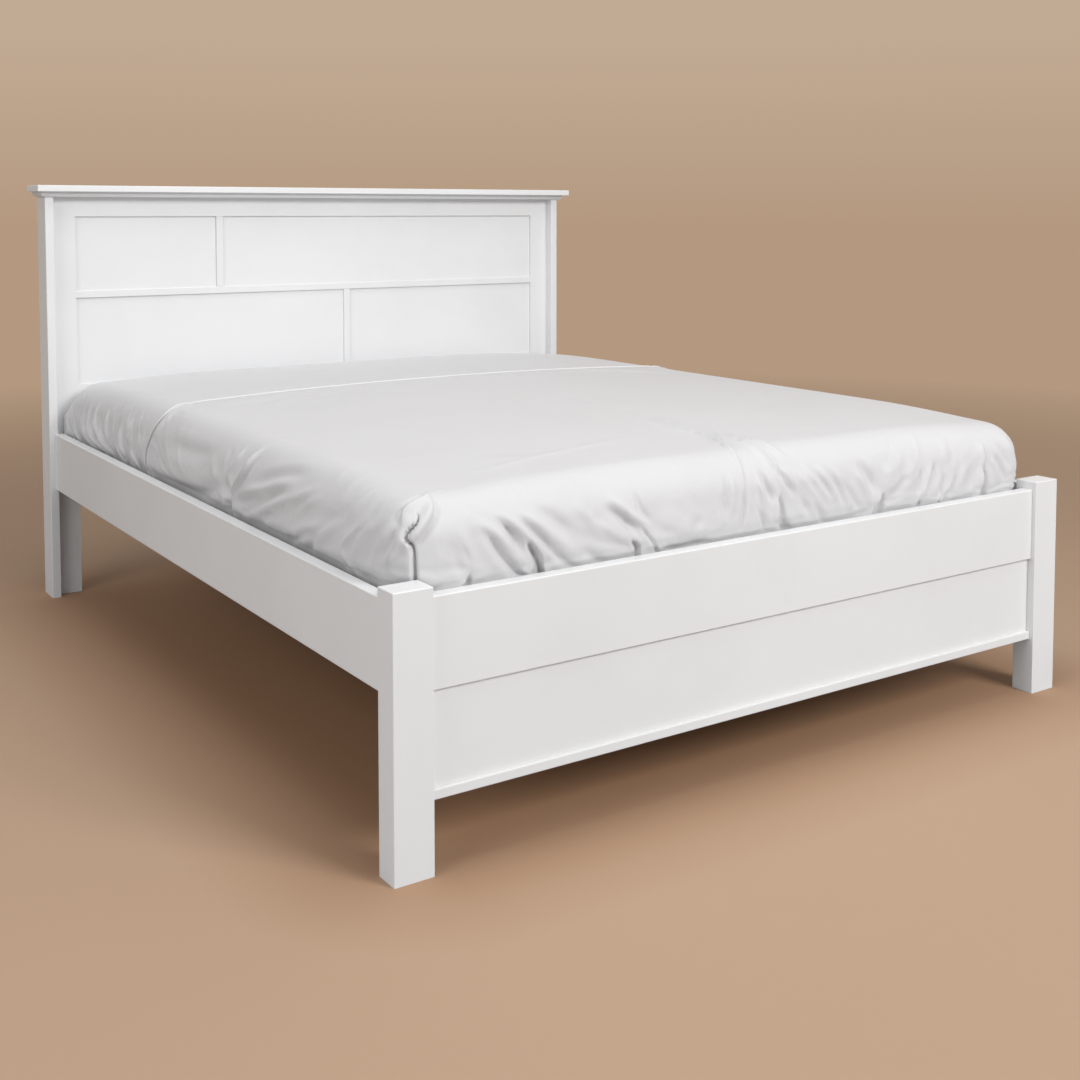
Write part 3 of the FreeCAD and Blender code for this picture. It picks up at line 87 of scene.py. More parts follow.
class BeddingSettings(bpy.types.PropertyGroup):
    """Form of the mattress, and its cloth."""

    top_round: bpy.props.FloatProperty(
        name="Top rounding", description="Radius of the mattress's upper edges", unit="LENGTH",
        default=0.07)
    base_round: bpy.props.FloatProperty(
        name="Base rounding", description="Radius of the mattress's lower edges", unit="LENGTH",
        default=0.022)
    corner_radius: bpy.props.FloatProperty(
        name="Corner", description="Radius of the corners seen from above", unit="LENGTH", default=0.07)
    side_bulge: bpy.props.FloatProperty(
        name="Bulge", description="How far the sides swell at half height", unit="LENGTH",
        default=0.005)
    side_pull: bpy.props.FloatProperty(
        name="Pull", description="How far the sides draw in between the corners", unit="LENGTH",
        default=0.006)
    crown: bpy.props.FloatProperty(
        name="Crown", description="Rise of the top over its edges", unit="LENGTH", default=0.018)
    edge_lift: bpy.props.FloatProperty(
        name="Edge lift", description="How far the covered edges stand over the bare ones",
        unit="LENGTH", default=0.007)
    corner_droop: bpy.props.FloatProperty(
        name="Corner droop", description="How far the top falls off at its corners", unit="LENGTH",
        default=0.016)
    belly_side: bpy.props.FloatProperty(
        name="Belly, sides", description="How far the sheets swell over the side rails",
        unit="LENGTH", default=0.014)
    belly_end: bpy.props.FloatProperty(
        name="Belly, ends", description="How far the sheets swell over the foot rail", unit="LENGTH",
        default=0.010)
    corner_fill: bpy.props.FloatProperty(
        name="Corner fill", description="How far the fitted sheet fills the corners at the head",
        unit="LENGTH", default=0.080)
    slack: bpy.props.FloatProperty(
        name="Slack", description="How far the padding lies inside the sheets", unit="LENGTH",
        default=0.013)
    hem_lean: bpy.props.FloatProperty(
        name="Hem lean", description="How far the hem leans to the head as it goes down",
        unit="LENGTH", default=0.05)
    cloth_thickness: bpy.props.FloatProperty(
        name="Cloth", description="Thickness of the sheets", unit="LENGTH", default=0.001)
    hem_radius: bpy.props.FloatProperty(
        name="Hem", description="Radius of the cord in the top sheet's hem", unit="LENGTH",
        default=0.0024)
    fine_creases: bpy.props.FloatProperty(
        name="Fine creases", description="Height of the cloth's finest creases", unit="LENGTH",
        default=0.0012)
    sheet_colour: bpy.props.FloatVectorProperty(
        name="Sheets", description="Colour of the cotton", subtype="COLOR",
        size=3, min=0, max=1, default=(0.66, 0.66, 0.675))
    # partly painted highlight: the hem is lighter than the sheets, partly as a thicker hem lets less light
    # through, partly to stand in for the light its cord catches
    hem_colour_and_highlight: bpy.props.FloatVectorProperty(
        name="Hem colour", description="Colour of the hem, which lets less light through",
        subtype="COLOR", size=3, min=0, max=1, default=(0.74, 0.74, 0.75))
    ticking_colour: bpy.props.FloatVectorProperty(
        name="Ticking", description="Colour of the mattress's cover", subtype="COLOR",
        size=3, min=0, max=1, default=(0.74, 0.73, 0.70))


class StageSettings(bpy.types.PropertyGroup):
    """Floor, lamps and camera."""

    floor_colour: bpy.props.FloatVectorProperty(
        name="Floor", description="Colour of the floor near the bed", subtype="COLOR",
        size=3, min=0, max=1, default=(0.455, 0.310, 0.210))
    # painted shadow: a darker, browner floor colour under the bed, standing in for the bed's shadow there
    painted_shadow_colour: bpy.props.FloatVectorProperty(
        name="Shaded floor", description="Colour of the floor under the bed", subtype="COLOR",
        size=3, min=0, max=1, default=(0.375, 0.212, 0.118))
    bounce_colour: bpy.props.FloatVectorProperty(
        name="Bounce", description="Colour of the light that the floor throws back on the bed",
        subtype="COLOR", size=3, min=0, max=1, default=(0.374, 0.357, 0.342))
    backdrop_colour: bpy.props.FloatVectorProperty(
        name="Backdrop", description="Colour of the backdrop and of the floor far from the bed",
        subtype="COLOR", size=3, min=0, max=1, default=(0.455, 0.318, 0.215))
    upper_colour: bpy.props.FloatVectorProperty(
        name="Upper backdrop", description="Colour of the backdrop high up", subtype="COLOR",
        size=3, min=0, max=1, default=(0.535, 0.405, 0.296))
    camera_place: bpy.props.FloatVectorProperty(
        name="Camera", description="Where the camera stands", subtype="TRANSLATION", unit="LENGTH",
        size=3, default=(-1.8724, -3.0036, 1.0977))
    camera_pitch: bpy.props.FloatProperty(
        name="Camera pitch", description="How far the camera looks down", unit="ROTATION",
        default=math.radians(3.4))
    camera_yaw: bpy.props.FloatProperty(
        name="Camera yaw", description="How far the camera looks to the right", unit="ROTATION",
        default=math.radians(33.843))
    camera_lens: bpy.props.FloatProperty(
        name="Lens", description="Focal length on a 36 mm wide frame, in millimetres", default=46.05)
    camera_shift: bpy.props.FloatProperty(
        name="Shift", description="How far the frame is shifted down, as a share of its width",
        default=-0.2285)
    key_power: bpy.props.FloatProperty(
        name="Key lamp", description="Power of the large lamp in front, at the right", unit="POWER",
        default=212.0)
    fill_power: bpy.props.FloatProperty(
        name="Fill lamp", description="Power of the lamp at the left", unit="POWER", default=59.0)
    top_power: bpy.props.FloatProperty(
        name="Top lamp", description="Power of the lamp over the bed", unit="POWER", default=64.0)
    world_strength: bpy.props.FloatProperty(
        name="Room light", description="Strength of the light from all round", default=0.31)


# ---- nodes of a material -----------------------------------------------------------------

class Finish:
    """A material, built up from shader nodes."""

    def __init__(self, name):
        self.material = bpy.data.materials.new(name)
        self.material.use_nodes = True
        self.tree = self.material.node_tree
        self.shader = self.tree.nodes["Principled BSDF"]

    def node(self, kind, links=None, **values):
        made = self.tree.nodes.new(kind)
        for name, value in values.items():
            setattr(made, name, value)
        for socket, source in (links or {}).items():
            if isinstance(source, bpy.types.NodeSocket):
                self.tree.links.new(source, made.inputs[socket])
            else:
                made.inputs[socket].default_value = source
        return made

    def set(self, **values):
        for name, value in values.items():
            self.shader.inputs[name.replace("_", " ")].default_value = value

    def link(self, source, name):
        self.tree.links.new(source, self.shader.inputs[name])

    def place(self, scale=(1, 1, 1), turn=(0, 0, 0), shift=(0, 0, 0)):
        """The point on the piece, turned, moved and scaled."""
        point = self.node("ShaderNodeTexCoord").outputs["Object"]
        mapping = self.node("ShaderNodeMapping", {"Vector": point, "Location": shift,
                                                  "Rotation": turn, "Scale": scale})
        return mapping.outputs["Vector"]

    def noise(self, vector, scale, detail=3.0, roughness=0.5, distortion=0.0):
        made = self.node("ShaderNodeTexNoise", {"Vector": vector, "Scale": scale, "Detail": detail,
                                                "Roughness": roughness, "Distortion": distortion})
        return made.outputs["Fac"]

    def spread(self, value, low, high, start=0.0, end=1.0):
        """value, taken from start..end to low..high."""
        made = self.node("ShaderNodeMapRange", {"Value": value, "From Min": start, "From Max": end,
                                                "To Min": low, "To Max": high})
        return made.outputs["Result"]

    def ramp(self, value, stops):
        made = self.node("ShaderNodeValToRGB", {"Fac": value})
        elements = made.color_ramp.elements
        while len(elements) < len(stops):
            elements.new(0.5)
        for element, (place, colour) in zip(elements, stops):
            element.position = place
            element.color = (*colour, 1)
        return made.outputs["Color"]

    def sum(self, a, b, share=1.0):
        made = self.node("ShaderNodeMath", {0: b, 1: share, 2: a}, operation="MULTIPLY_ADD")
        return made.outputs[0]

    def bump(self, height, distance, strength=1.0):
        made = self.node("ShaderNodeBump", {"Height": height, "Distance": distance,
                                            "Strength": strength})
        self.link(made.outputs["Normal"], "Normal")


def shade(colour, share):
    return tuple(min(1.0, c * share) for c in colour)


def give(nodes, material_for):
    """Every slot of each CAD node takes its material."""
    for name in nodes:
        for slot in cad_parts[name].material_slots:
            slot.material = material_for(name)


def long_axis(name):
    low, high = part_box(name)
    size = high - low
    return "xyz"[list(size).index(max(size))]


def paint_finish(name, board, axis):
    """Satin paint, brushed on along the board."""
    finish = Finish(name)
    finish.set(Roughness=board.paint_roughness, IOR=1.5)
    finish.shader.inputs["Coat Weight"].default_value = 0.12
    finish.shader.inputs["Coat Roughness"].default_value = 0.25
    along = LONG_AXIS[axis]
    brushed = finish.place(scale=(420, 9, 420), turn=along)
    strokes = finish.noise(brushed, 1.0, 2.0, 0.5)
    stipple = finish.noise(finish.place(), 260.0, 2.0, 0.5)
    cloudy = finish.noise(finish.place(), 3.2, 3.0, 0.6)
    height = finish.sum(strokes, stipple, 0.6)
    finish.bump(height, 0.00006, 0.8)
    colour = finish.ramp(cloudy, [(0.25, shade(board.paint_colour, 0.965)),
                                  (0.55, board.paint_colour),
                                  (0.8, shade(board.paint_colour, 1.012))])
    finish.link(colour, "Base Color")
    finish.link(finish.spread(finish.noise(finish.place(), 14.0, 4.0, 0.6),
                              board.paint_roughness - 0.06, board.paint_roughness + 0.08), "Roughness")
    return finish.material


def wood_finish(name, board, axis, shift):
    """Planed softwood, its grain along the piece."""
    finish = Finish(name)
    finish.set(Roughness=0.62)
    point = finish.place(scale=(1, 0.06, 1), turn=LONG_AXIS[axis], shift=shift)
    wander = finish.noise(point, 9.0, 3.0, 0.55, 0.6)
    rings = finish.node("ShaderNodeTexWave", {"Vector": point, "Scale": 26.0, "Distortion": 5.5,
                                              "Detail": 2.0, "Detail Scale": 1.2},
                        wave_type="BANDS", bands_direction="X", wave_profile="SIN")
    fibres = finish.noise(finish.place(scale=(900, 14, 900), turn=LONG_AXIS[axis]), 1.0, 2.0)
    grain = finish.sum(finish.sum(rings.outputs["Fac"], wander, 0.9), fibres, 0.25)
    colour = finish.ramp(finish.spread(grain, 0, 1, 0.2, 1.9),
                         [(0.0, shade(board.wood_colour, 1.12)), (0.5, board.wood_colour),
                          (1.0, shade(board.wood_colour, 0.68))])
    finish.link(colour, "Base Color")
    finish.link(finish.spread(grain, 0.55, 0.72, 0.2, 1.9), "Roughness")
    finish.bump(fibres, 0.0002, 0.5)
    return finish.material


def steel_finish(board):
    """Zinc-plated steel."""
    finish = Finish("plated_steel")
    finish.set(Metallic=1.0)
    patches = finish.noise(finish.place(), 90.0, 3.0, 0.6)
    finish.link(finish.ramp(patches, [(0.3, shade(board.steel_colour, 0.82)),
                                      (0.7, board.steel_colour)]), "Base Color")
    finish.link(finish.spread(patches, 0.26, 0.44), "Roughness")
    finish.bump(finish.noise(finish.place(), 700.0, 2.0), 0.00004, 0.6)
    return finish.material


def plastic_finish(board):
    """Moulded plastic."""
    finish = Finish("glide_plastic")
    grains = finish.noise(finish.place(), 1500.0, 2.0)
    finish.link(finish.ramp(grains, [(0.3, shade(board.plastic_colour, 0.8)),
                                     (0.7, board.plastic_colour)]), "Base Color")
    finish.link(finish.spread(grains, 0.42, 0.6), "Roughness")
    finish.bump(grains, 0.00005, 0.7)
    return finish.material


# ---- the shape of the bedding ------------------------------------------------------------

def smooth(value):
    """Eases a share from 0 to 1."""
    share = np.clip(value, 0.0, 1.0)
    return share * share * (3 - 2 * share)


# Room for the sheets, in metres off the form: beside the side rails, beside the foot rail, and more over
# the rails' edges from OVER_LEVEL up; on the top; and for the fitted sheet before the headboard.
ROOM_SIDE, ROOM_END, ROOM_OVER, OVER_LEVEL = 0.0225, 0.0140, 0.008, 0.478
ROOM_TOP, ROOM_HEAD = 0.014, 0.0130
# level just under the rails' edges, below which the sheets aren't seen
HIDDEN_LEVEL = 0.462
# how much higher the hanging folds are than their table says, and the gathers
HANGING_FOLDS, GATHERS_HEIGHT, GATHERS_WIDTH = 1.35, 2.0, 0.75


class Form:
    """The mattress's rounded form: columns stand round it, and rows run from its top down its sides.

    A column's place is its distance round the form, which starts in the middle of the left side and
    goes by the foot. Along the left and right sides a fold's place is its Y, and along the foot and
    the head its X. Down is the distance over the cloth from the edge of the flat top."""

    def __init__(self, bedding):
        low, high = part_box("mattress")
        self.round = bedding.top_round
        self.corner = bedding.corner_radius
        self.bulge = bedding.side_bulge
        self.pull = bedding.side_pull
        self.crown = bedding.crown
        self.droop = bedding.corner_droop
        self.belly = (bedding.belly_side, bedding.belly_end)
        self.half_x = high.x - self.bulge
        self.half_y = (high.y - low.y) / 2 - self.bulge
        self.middle_y = (high.y + low.y) / 2
        self.base = low.z
        self.edge = high.z - self.crown + bedding.edge_lift
        self.run_x = self.half_x - self.corner
        self.run_y = self.half_y - self.corner
        self.arc = self.corner * math.pi / 2
        # distance round the form to the middle of the left, foot, right and head sides
        self.middles = {"left": 0.0, "foot": self.run_y + self.arc + self.run_x}
        self.middles["right"] = self.middles["foot"] + self.run_x + self.arc + self.run_y
        self.middles["head"] = self.middles["right"] + self.run_y + self.arc + self.run_x
        self.girth = 4 * (self.run_x + self.run_y + self.arc)

    def place(self, side, along):
        """Distance round the form of a place along one side."""
        turned = {"left": self.middle_y - along, "right": along - self.middle_y,
                  "foot": along, "head": -along}[side]
        return self.middles[side] + turned

    def along(self, side, around):
        """The opposite of place, for an array; it carries on round the corners."""
        turned = (around - self.middles[side] + self.girth / 2) % self.girth - self.girth / 2
        return {"left": self.middle_y - turned, "right": self.middle_y + turned,
                "foot": turned, "head": -turned}[side]

    def ring(self, around, inset):
        """Points and outward directions of a ring that lies inset inside the form's sides."""
        radius = max(self.corner - inset, 0.012)
        run_x, run_y = self.half_x - inset - radius, self.half_y - inset - radius
        points = np.zeros((len(around), 2))
        out = np.zeros((len(around), 2))
        frames = {"left": ((-1, 0), (0, -1), self.run_y, run_y, self.half_x - inset),
                  "foot": ((0, -1), (1, 0), self.run_x, run_x, self.half_y - inset),
                  "right": ((1, 0), (0, 1), self.run_y, run_y, self.half_x - inset),
                  "head": ((0, 1), (-1, 0), self.run_x, run_x, self.half_y - inset)}
        for side, (outward, onward, full, run, reach) in frames.items():
            outward, onward = np.array(outward, float), np.array(onward, float)
            local = (around - self.middles[side] + self.girth / 2) % self.girth - self.girth / 2
            straight = np.abs(local) <= full
            share = local[straight] / full
            drawn = self.pull * (1 - share ** 2)
            points[straight] = outward * (reach - drawn)[:, None] + onward * (share * run)[:, None]
            out[straight] = outward
            turning = (local > full) & (local < full + self.arc)
            angle = (local[turning] - full) / self.corner
            spoke = outward * np.cos(angle)[:, None] + onward * np.sin(angle)[:, None]
            points[turning] = outward * (reach - radius) + onward * run + spoke * radius
            out[turning] = spoke
        points[:, 1] += self.middle_y
        return points, out

    def rise(self, x, y):
        """Height of the top over its edge: a crown in the middle, a little lower at the corners."""
        across = np.clip(np.abs(x) / (self.half_x - self.round), 0, 1)
        length = np.clip(np.abs(y - self.middle_y) / (self.half_y - self.round), 0, 1)
        reach = np.hypot(np.abs(x) - self.half_x, np.abs(y - self.middle_y) - self.half_y)
        return (self.crown * (1 - across ** 2.2) * (1 - length ** 3.0)
                - self.droop * np.exp(-(reach / 0.22) ** 2))

    def down_of(self, below):
        """Distance down the cloth of a place that lies below the edge of the top; a place that is
        less than nothing below it lies that far in from the edge."""
        if below <= 0:
            return below
        radius = self.round + 0.003
        if below < radius:
            return radius * math.acos(1 - below / radius)
        return radius * math.pi / 2 + below - radius

    def swelling(self, level, out):
        """How far a cloth stands off the side at a level, where it hangs over the rails' edge."""
        below = self.edge - level
        side, end = self.belly
        swell = side * out[:, 0] ** 2 + end * out[:, 1] ** 2
        drawn = (side * 0.95 * out[:, 0] ** 2 + end * 0.55 * out[:, 1] ** 2) * smooth((below - 0.128) / 0.055)
        return smooth((below - 0.02) / 0.10) * (swell - drawn)

    def rows(self, hem, steps, top_gap):
        """Rows of a cloth that lies top_gap over the form: for each its inset, height, tilt of the
        outward direction, and distance down. steps: rows round the edge, down to just under the
        rails' upper edges, and from there to the hem."""
        made = [(self.round + inset, self.edge + top_gap, math.pi / 2, -inset) for inset in (0.012, 0.006)]
        radius = self.round + top_gap
        for k in range(steps[0] + 1):
            angle = math.pi / 2 * k / steps[0]
            made.append((self.round - radius * math.sin(angle),
                         self.edge - self.round + radius * math.cos(angle),
                         math.pi / 2 - angle, radius * angle))
        shoulder = self.edge - self.round
        levels = [shoulder + (HIDDEN_LEVEL - shoulder) * k / steps[1] for k in range(1, steps[1] + 1)]
        levels += [HIDDEN_LEVEL + (hem - HIDDEN_LEVEL) * k / steps[2] for k in range(1, steps[2] + 1)]
        for level in levels:
            made.append((-top_gap, level, 0.0, radius * math.pi / 2 + shoulder - level))
        return made


def spaced(start, end, step):
    """Places from start to end, step(place) apart."""
    places = [start]
    while places[-1] < end:
        places.append(places[-1] + step(places[-1]))
    made = np.array(places)
    return start + (made - start) * (end - start) / (made[-1] - start)


class Cloth:
    """A cloth over the form, as points with their outward directions and places."""

    def __init__(self, form, around, rows, closed, inner, hem_y=None, top_gap=0.0, share=1.0):
        """around: the columns' places; inner: points on top; share: how much of the form's swelling
        the cloth follows."""
        self.form = form
        count = len(around)
        points, out, down, offset = [], [], [], []
        for inset, height, tilt, below in rows:
            flat, direction = form.ring(around, inset)
            level = np.full(count, height)
            swelling = share * form.swelling(level, direction)
            flat = flat + direction * swelling[:, None]
            offset.append(top_gap + swelling)
            points.append(np.column_stack([flat, level]))
            out.append(np.column_stack([direction * math.cos(tilt), np.full(count, math.sin(tilt))]))
            down.append(np.full(count, below))
        self.skirt, self.count, self.rows = len(rows) * count, count, len(rows)
        columns = range(count if closed else count - 1)
        self.faces = [(r * count + c, (r + 1) * count + c, (r + 1) * count + (c + 1) % count,
                       r * count + (c + 1) % count)
                      for r in range(len(rows) - 1) for c in columns]
        edge_points = []
        if not closed:
            start, end = points[0][0][0], points[0][-1][0]
            steps = int(abs(end - start) / 0.007)
            edge_points = [(x, hem_y) for x in np.linspace(end, start, steps + 1)[1:-1]]
        rim = [tuple(p[:2]) for p in points[0]] + edge_points
        borders = [(k, (k + 1) % len(rim)) for k in range(len(rim))]
        found, _, triangles, sources, _, _ = delaunay_2d_cdt(
            [Vector(p) for p in rim + inner], borders, [], 1, 1e-6)
        number, extra = {}, []
        for k, (place, source) in enumerate(zip(found, sources)):
            if source and source[0] < count:
                number[k] = source[0]
            else:
                number[k] = self.skirt + len(extra)
                extra.append((place[0], place[1]))
        self.faces += [[number[k] for k in triangle] for triangle in triangles]
        height = np.full(len(extra), form.edge + top_gap)
        self.points = np.vstack(points + [np.column_stack([np.array(extra), height])])
        self.out = np.vstack(out + [np.tile((0.0, 0.0, 1.0), (len(extra), 1))])
        self.around = np.concatenate([np.tile(around, len(rows)), np.full(len(extra), np.nan)])
        self.down = np.concatenate(down + [np.zeros(len(extra))])
        self.points[:, 2] += (form.rise(self.points[:, 0], self.points[:, 1])
                              * (1 - smooth(self.down / (form.round * 1.9))))
        self.push = np.zeros(len(self.points))
        self.offset = np.concatenate(offset + [np.full(len(extra), top_gap)])

    def frame(self, side):
        """Along and down of every point, as one side sees them."""
        form, x, y = self.form, self.points[:, 0], self.points[:, 1]
        along = np.where(np.isnan(self.around), y if side in ("left", "right") else x,
                         form.along(side, np.nan_to_num(self.around)))
        inward = {"left": x + form.half_x, "right": form.half_x - x,
                  "foot": y - form.middle_y + form.half_y,
                  "head": form.middle_y + form.half_y - y}[side] - form.round
        flat = np.isnan(self.around) | (self.down < 0)
        return along, np.where(flat, -inward, self.down)

    def beside(self, side, line, reach):
        """For the points within reach of a line of (along, below) places: which they are, their
        share of the way along it, and how far they lie beside it, towards greater along."""
        along, down = self.frame(side)
        nodes = flowing([(a, self.form.down_of(below)) for a, below in line])
        low, high = nodes.min(axis=0) - reach, nodes.max(axis=0) + reach
        near = np.flatnonzero((along > low[0]) & (along < high[0]) & (down > low[1]) & (down < high[1]))
        place = np.column_stack([along[near], down[near]])
        lengths = np.linalg.norm(np.diff(nodes, axis=0), axis=1)
        walked = np.concatenate([[0.0], np.cumsum(lengths)])
        best = np.full(len(near), np.inf)
        share, beside = np.zeros(len(near)), np.zeros(len(near))
        for k, length in enumerate(lengths):
            step = (nodes[k + 1] - nodes[k]) / length
            local = place - nodes[k]
            onward = np.clip(local @ step, 0.0, length)
            offset = local - onward[:, None] * step
            gap = np.linalg.norm(offset, axis=1)
            nearer = gap < best
            best[nearer] = gap[nearer]
            share[nearer] = (walked[k] + onward[nearer]) / walked[-1]
            turned = offset[:, 0] * step[1] - offset[:, 1] * step[0]
            beside[nearer] = (np.sign(turned) * gap)[nearer]
        return near, share, beside

    def fold(self, kind, side, line, width, height, ends="both"):
        """Adds a fold along a line of (along, below) places.

        kind: ridge, valley, crease, or a pleat whose steep side is towards greater along (pleat+)
        or towards smaller (pleat-); ends: where the fold fades out, both or start."""
        near, share, beside = self.beside(side, line, 5 * width)
        fade = smooth(share / 0.35)
        if ends == "both":
            fade = fade * smooth((1 - share) / 0.35)
        q = beside / width
        if kind == "ridge":
            lift = np.exp(-2 * q ** 2)
        elif kind == "valley":
            lift = 0.25 * np.exp(-2 * (np.abs(q) - 1.7) ** 2) - np.exp(-2 * q ** 2)
        elif kind == "crease":
            lift = np.exp(-2.2 * np.abs(q)) - 0.15 * np.exp(-2 * (np.abs(q) - 1.6) ** 2)
        else:
            q = q if kind == "pleat+" else -q
            steep = np.exp(-2 * (q / 0.30) ** 2) - 0.6 * np.exp(-2 * ((q - 0.60) / 0.34) ** 2)
            lift = np.where(q < 0, np.exp(-2 * q ** 2), steep)
        self.push[near] += height * fade * lift

    def dart(self, side, line, opening, depth, proud):
        """Adds a dart: an opening that widens from the line's upper end to its lower one, on the side
        of greater along, or of smaller where it is below 0. The cloth stands proud along the line."""
        near, share, beside = self.beside(side, line, 3 * abs(opening) + 0.02)
        q = beside * math.copysign(1.0, opening)
        grown = smooth(share * 4.5)
        width = abs(opening) * (0.3 + 0.7 * np.clip(share * 1.5, 0, 1))
        sunk = -depth * (0.3 * (1 - smooth((q / width - 0.4) / 0.6)) + 0.7 * np.clip(1 - q / width, 0, 1))
        stand = proud * np.exp(-2 * (q / 0.020) ** 2)
        edge = smooth(q / 0.0026 + 0.5)
        kept = 1 - grown * edge * (1 - smooth((q / width - 0.4) / 0.6))
        self.push[near] = self.push[near] * kept + grown * (sunk * edge + stand * (1 - edge))

    def shaped(self, lowest, highest):
        """The points moved by their folds, so that they stand between lowest and highest off the
        form."""
        room = np.maximum(highest - self.offset, 0.0006)
        least = np.maximum(self.offset - lowest, 0.0006)
        push = np.where(self.push > 0, room * np.tanh(self.push / room),
                        -least * np.tanh(-self.push / least))
        return self.points + self.out * push[:, None]

    def space(self):
        """How far the points may stand off the form: inside the rails, and a little over their
        edges."""
        level = self.points[:, 2]
        side, end = self.out[:, 0] ** 2, self.out[:, 1] ** 2
        beside = ROOM_SIDE * side + ROOM_END * end
        hanging = beside + ROOM_OVER * smooth((level - OVER_LEVEL) / 0.02)
        flat = self.out[:, 2] ** 2
        return hanging * (1 - flat) + ROOM_TOP * flat


def flowing(points):
    """A smooth line through a few places."""
    nodes = np.array(points, float)
    if len(nodes) < 3:
        return nodes
    padded = np.vstack([2 * nodes[0] - nodes[1], nodes, 2 * nodes[-1] - nodes[-2]])
    made = []
    for k in range(1, len(padded) - 2):
        before, start, end, after = padded[k - 1:k + 3]
        for t in (0.0, 0.25, 0.5, 0.75):
            made.append(0.5 * (2 * start + (end - before) * t
                               + (2 * before - 5 * start + 4 * end - after) * t ** 2
                               + (3 * start - before - 3 * end + after) * t ** 3))
    return np.array(made + [nodes[-1]])


def mesh_piece(name, points, faces, material):
    mesh = bpy.data.meshes.new(name)
    mesh.from_pydata([tuple(p) for p in points], [], [tuple(f) for f in faces])
    mesh.validate()
    mesh.materials.append(material)
    mesh.shade_smooth()
    made = bpy.data.objects.new(name, mesh)
    bpy.context.scene.collection.objects.link(made)
    return made


def places_of(piece):
    flat = np.empty(len(piece.data.vertices) * 3)
    piece.data.vertices.foreach_get("co", flat)
    return flat.reshape(-1, 3)


def set_places(piece, points):
    piece.data.vertices.foreach_set("co", np.asarray(points, float).ravel())
    piece.data.update()


def settle(piece, under, held, frames, swell, reach, weight=0.3, pressure=0.0):
    """Lets a cloth find its own small wrinkles: it grows by the share swell over what lies under
    it, is held where held is 1, and moves no further than reach. Gives how far its points moved."""
    before = places_of(piece)
    group = piece.vertex_groups.new(name="held")
    for value in np.unique(np.round(held, 2)):
        if value > 0:
            group.add([int(k) for k in np.flatnonzero(np.round(held, 2) == value)], float(value), "REPLACE")
    cloth = piece.modifiers.new("settle", "CLOTH")
    settings = cloth.settings
    settings.quality = 6
    settings.mass = 0.15
    settings.tension_stiffness = settings.compression_stiffness = 12.0
    settings.shear_stiffness = 4.0
    settings.bending_stiffness = 0.25
    settings.tension_damping = settings.compression_damping = 8.0
    settings.air_damping = 3.0
    settings.shrink_min = -swell
    settings.vertex_group_mass = "held"
    settings.effector_weights.gravity = weight
    if pressure:
        settings.use_pressure = True
        settings.uniform_pressure_force = pressure
    cloth.collision_settings.use_self_collision = False
    cloth.collision_settings.use_collision = under is not None
    cloth.collision_settings.distance_min = 0.001
    if under is not None:
        under.modifiers.new("under", "COLLISION")
        under.collision.thickness_outer = 0.001
        under.collision.cloth_friction = 20.0
    scene = bpy.context.scene
    cloth.point_cache.frame_start, cloth.point_cache.frame_end = 1, frames
    for frame_number in range(1, frames + 1):
        scene.frame_set(frame_number)
    shown = piece.evaluated_get(bpy.context.evaluated_depsgraph_get())
    flat = np.empty(len(shown.data.vertices) * 3)
    shown.data.vertices.foreach_get("co", flat)
    moved = flat.reshape(-1, 3) - before
    length = np.linalg.norm(moved, axis=1)
    share = np.where(length > reach, reach / np.maximum(length, 1e-9), 1.0)
    piece.modifiers.remove(cloth)
    piece.vertex_groups.remove(group)
    if under is not None:
        under.modifiers.remove(under.modifiers["under"])
    scene.frame_set(1)
    set_places(piece, before + moved * share[:, None])
    return moved * share[:, None]


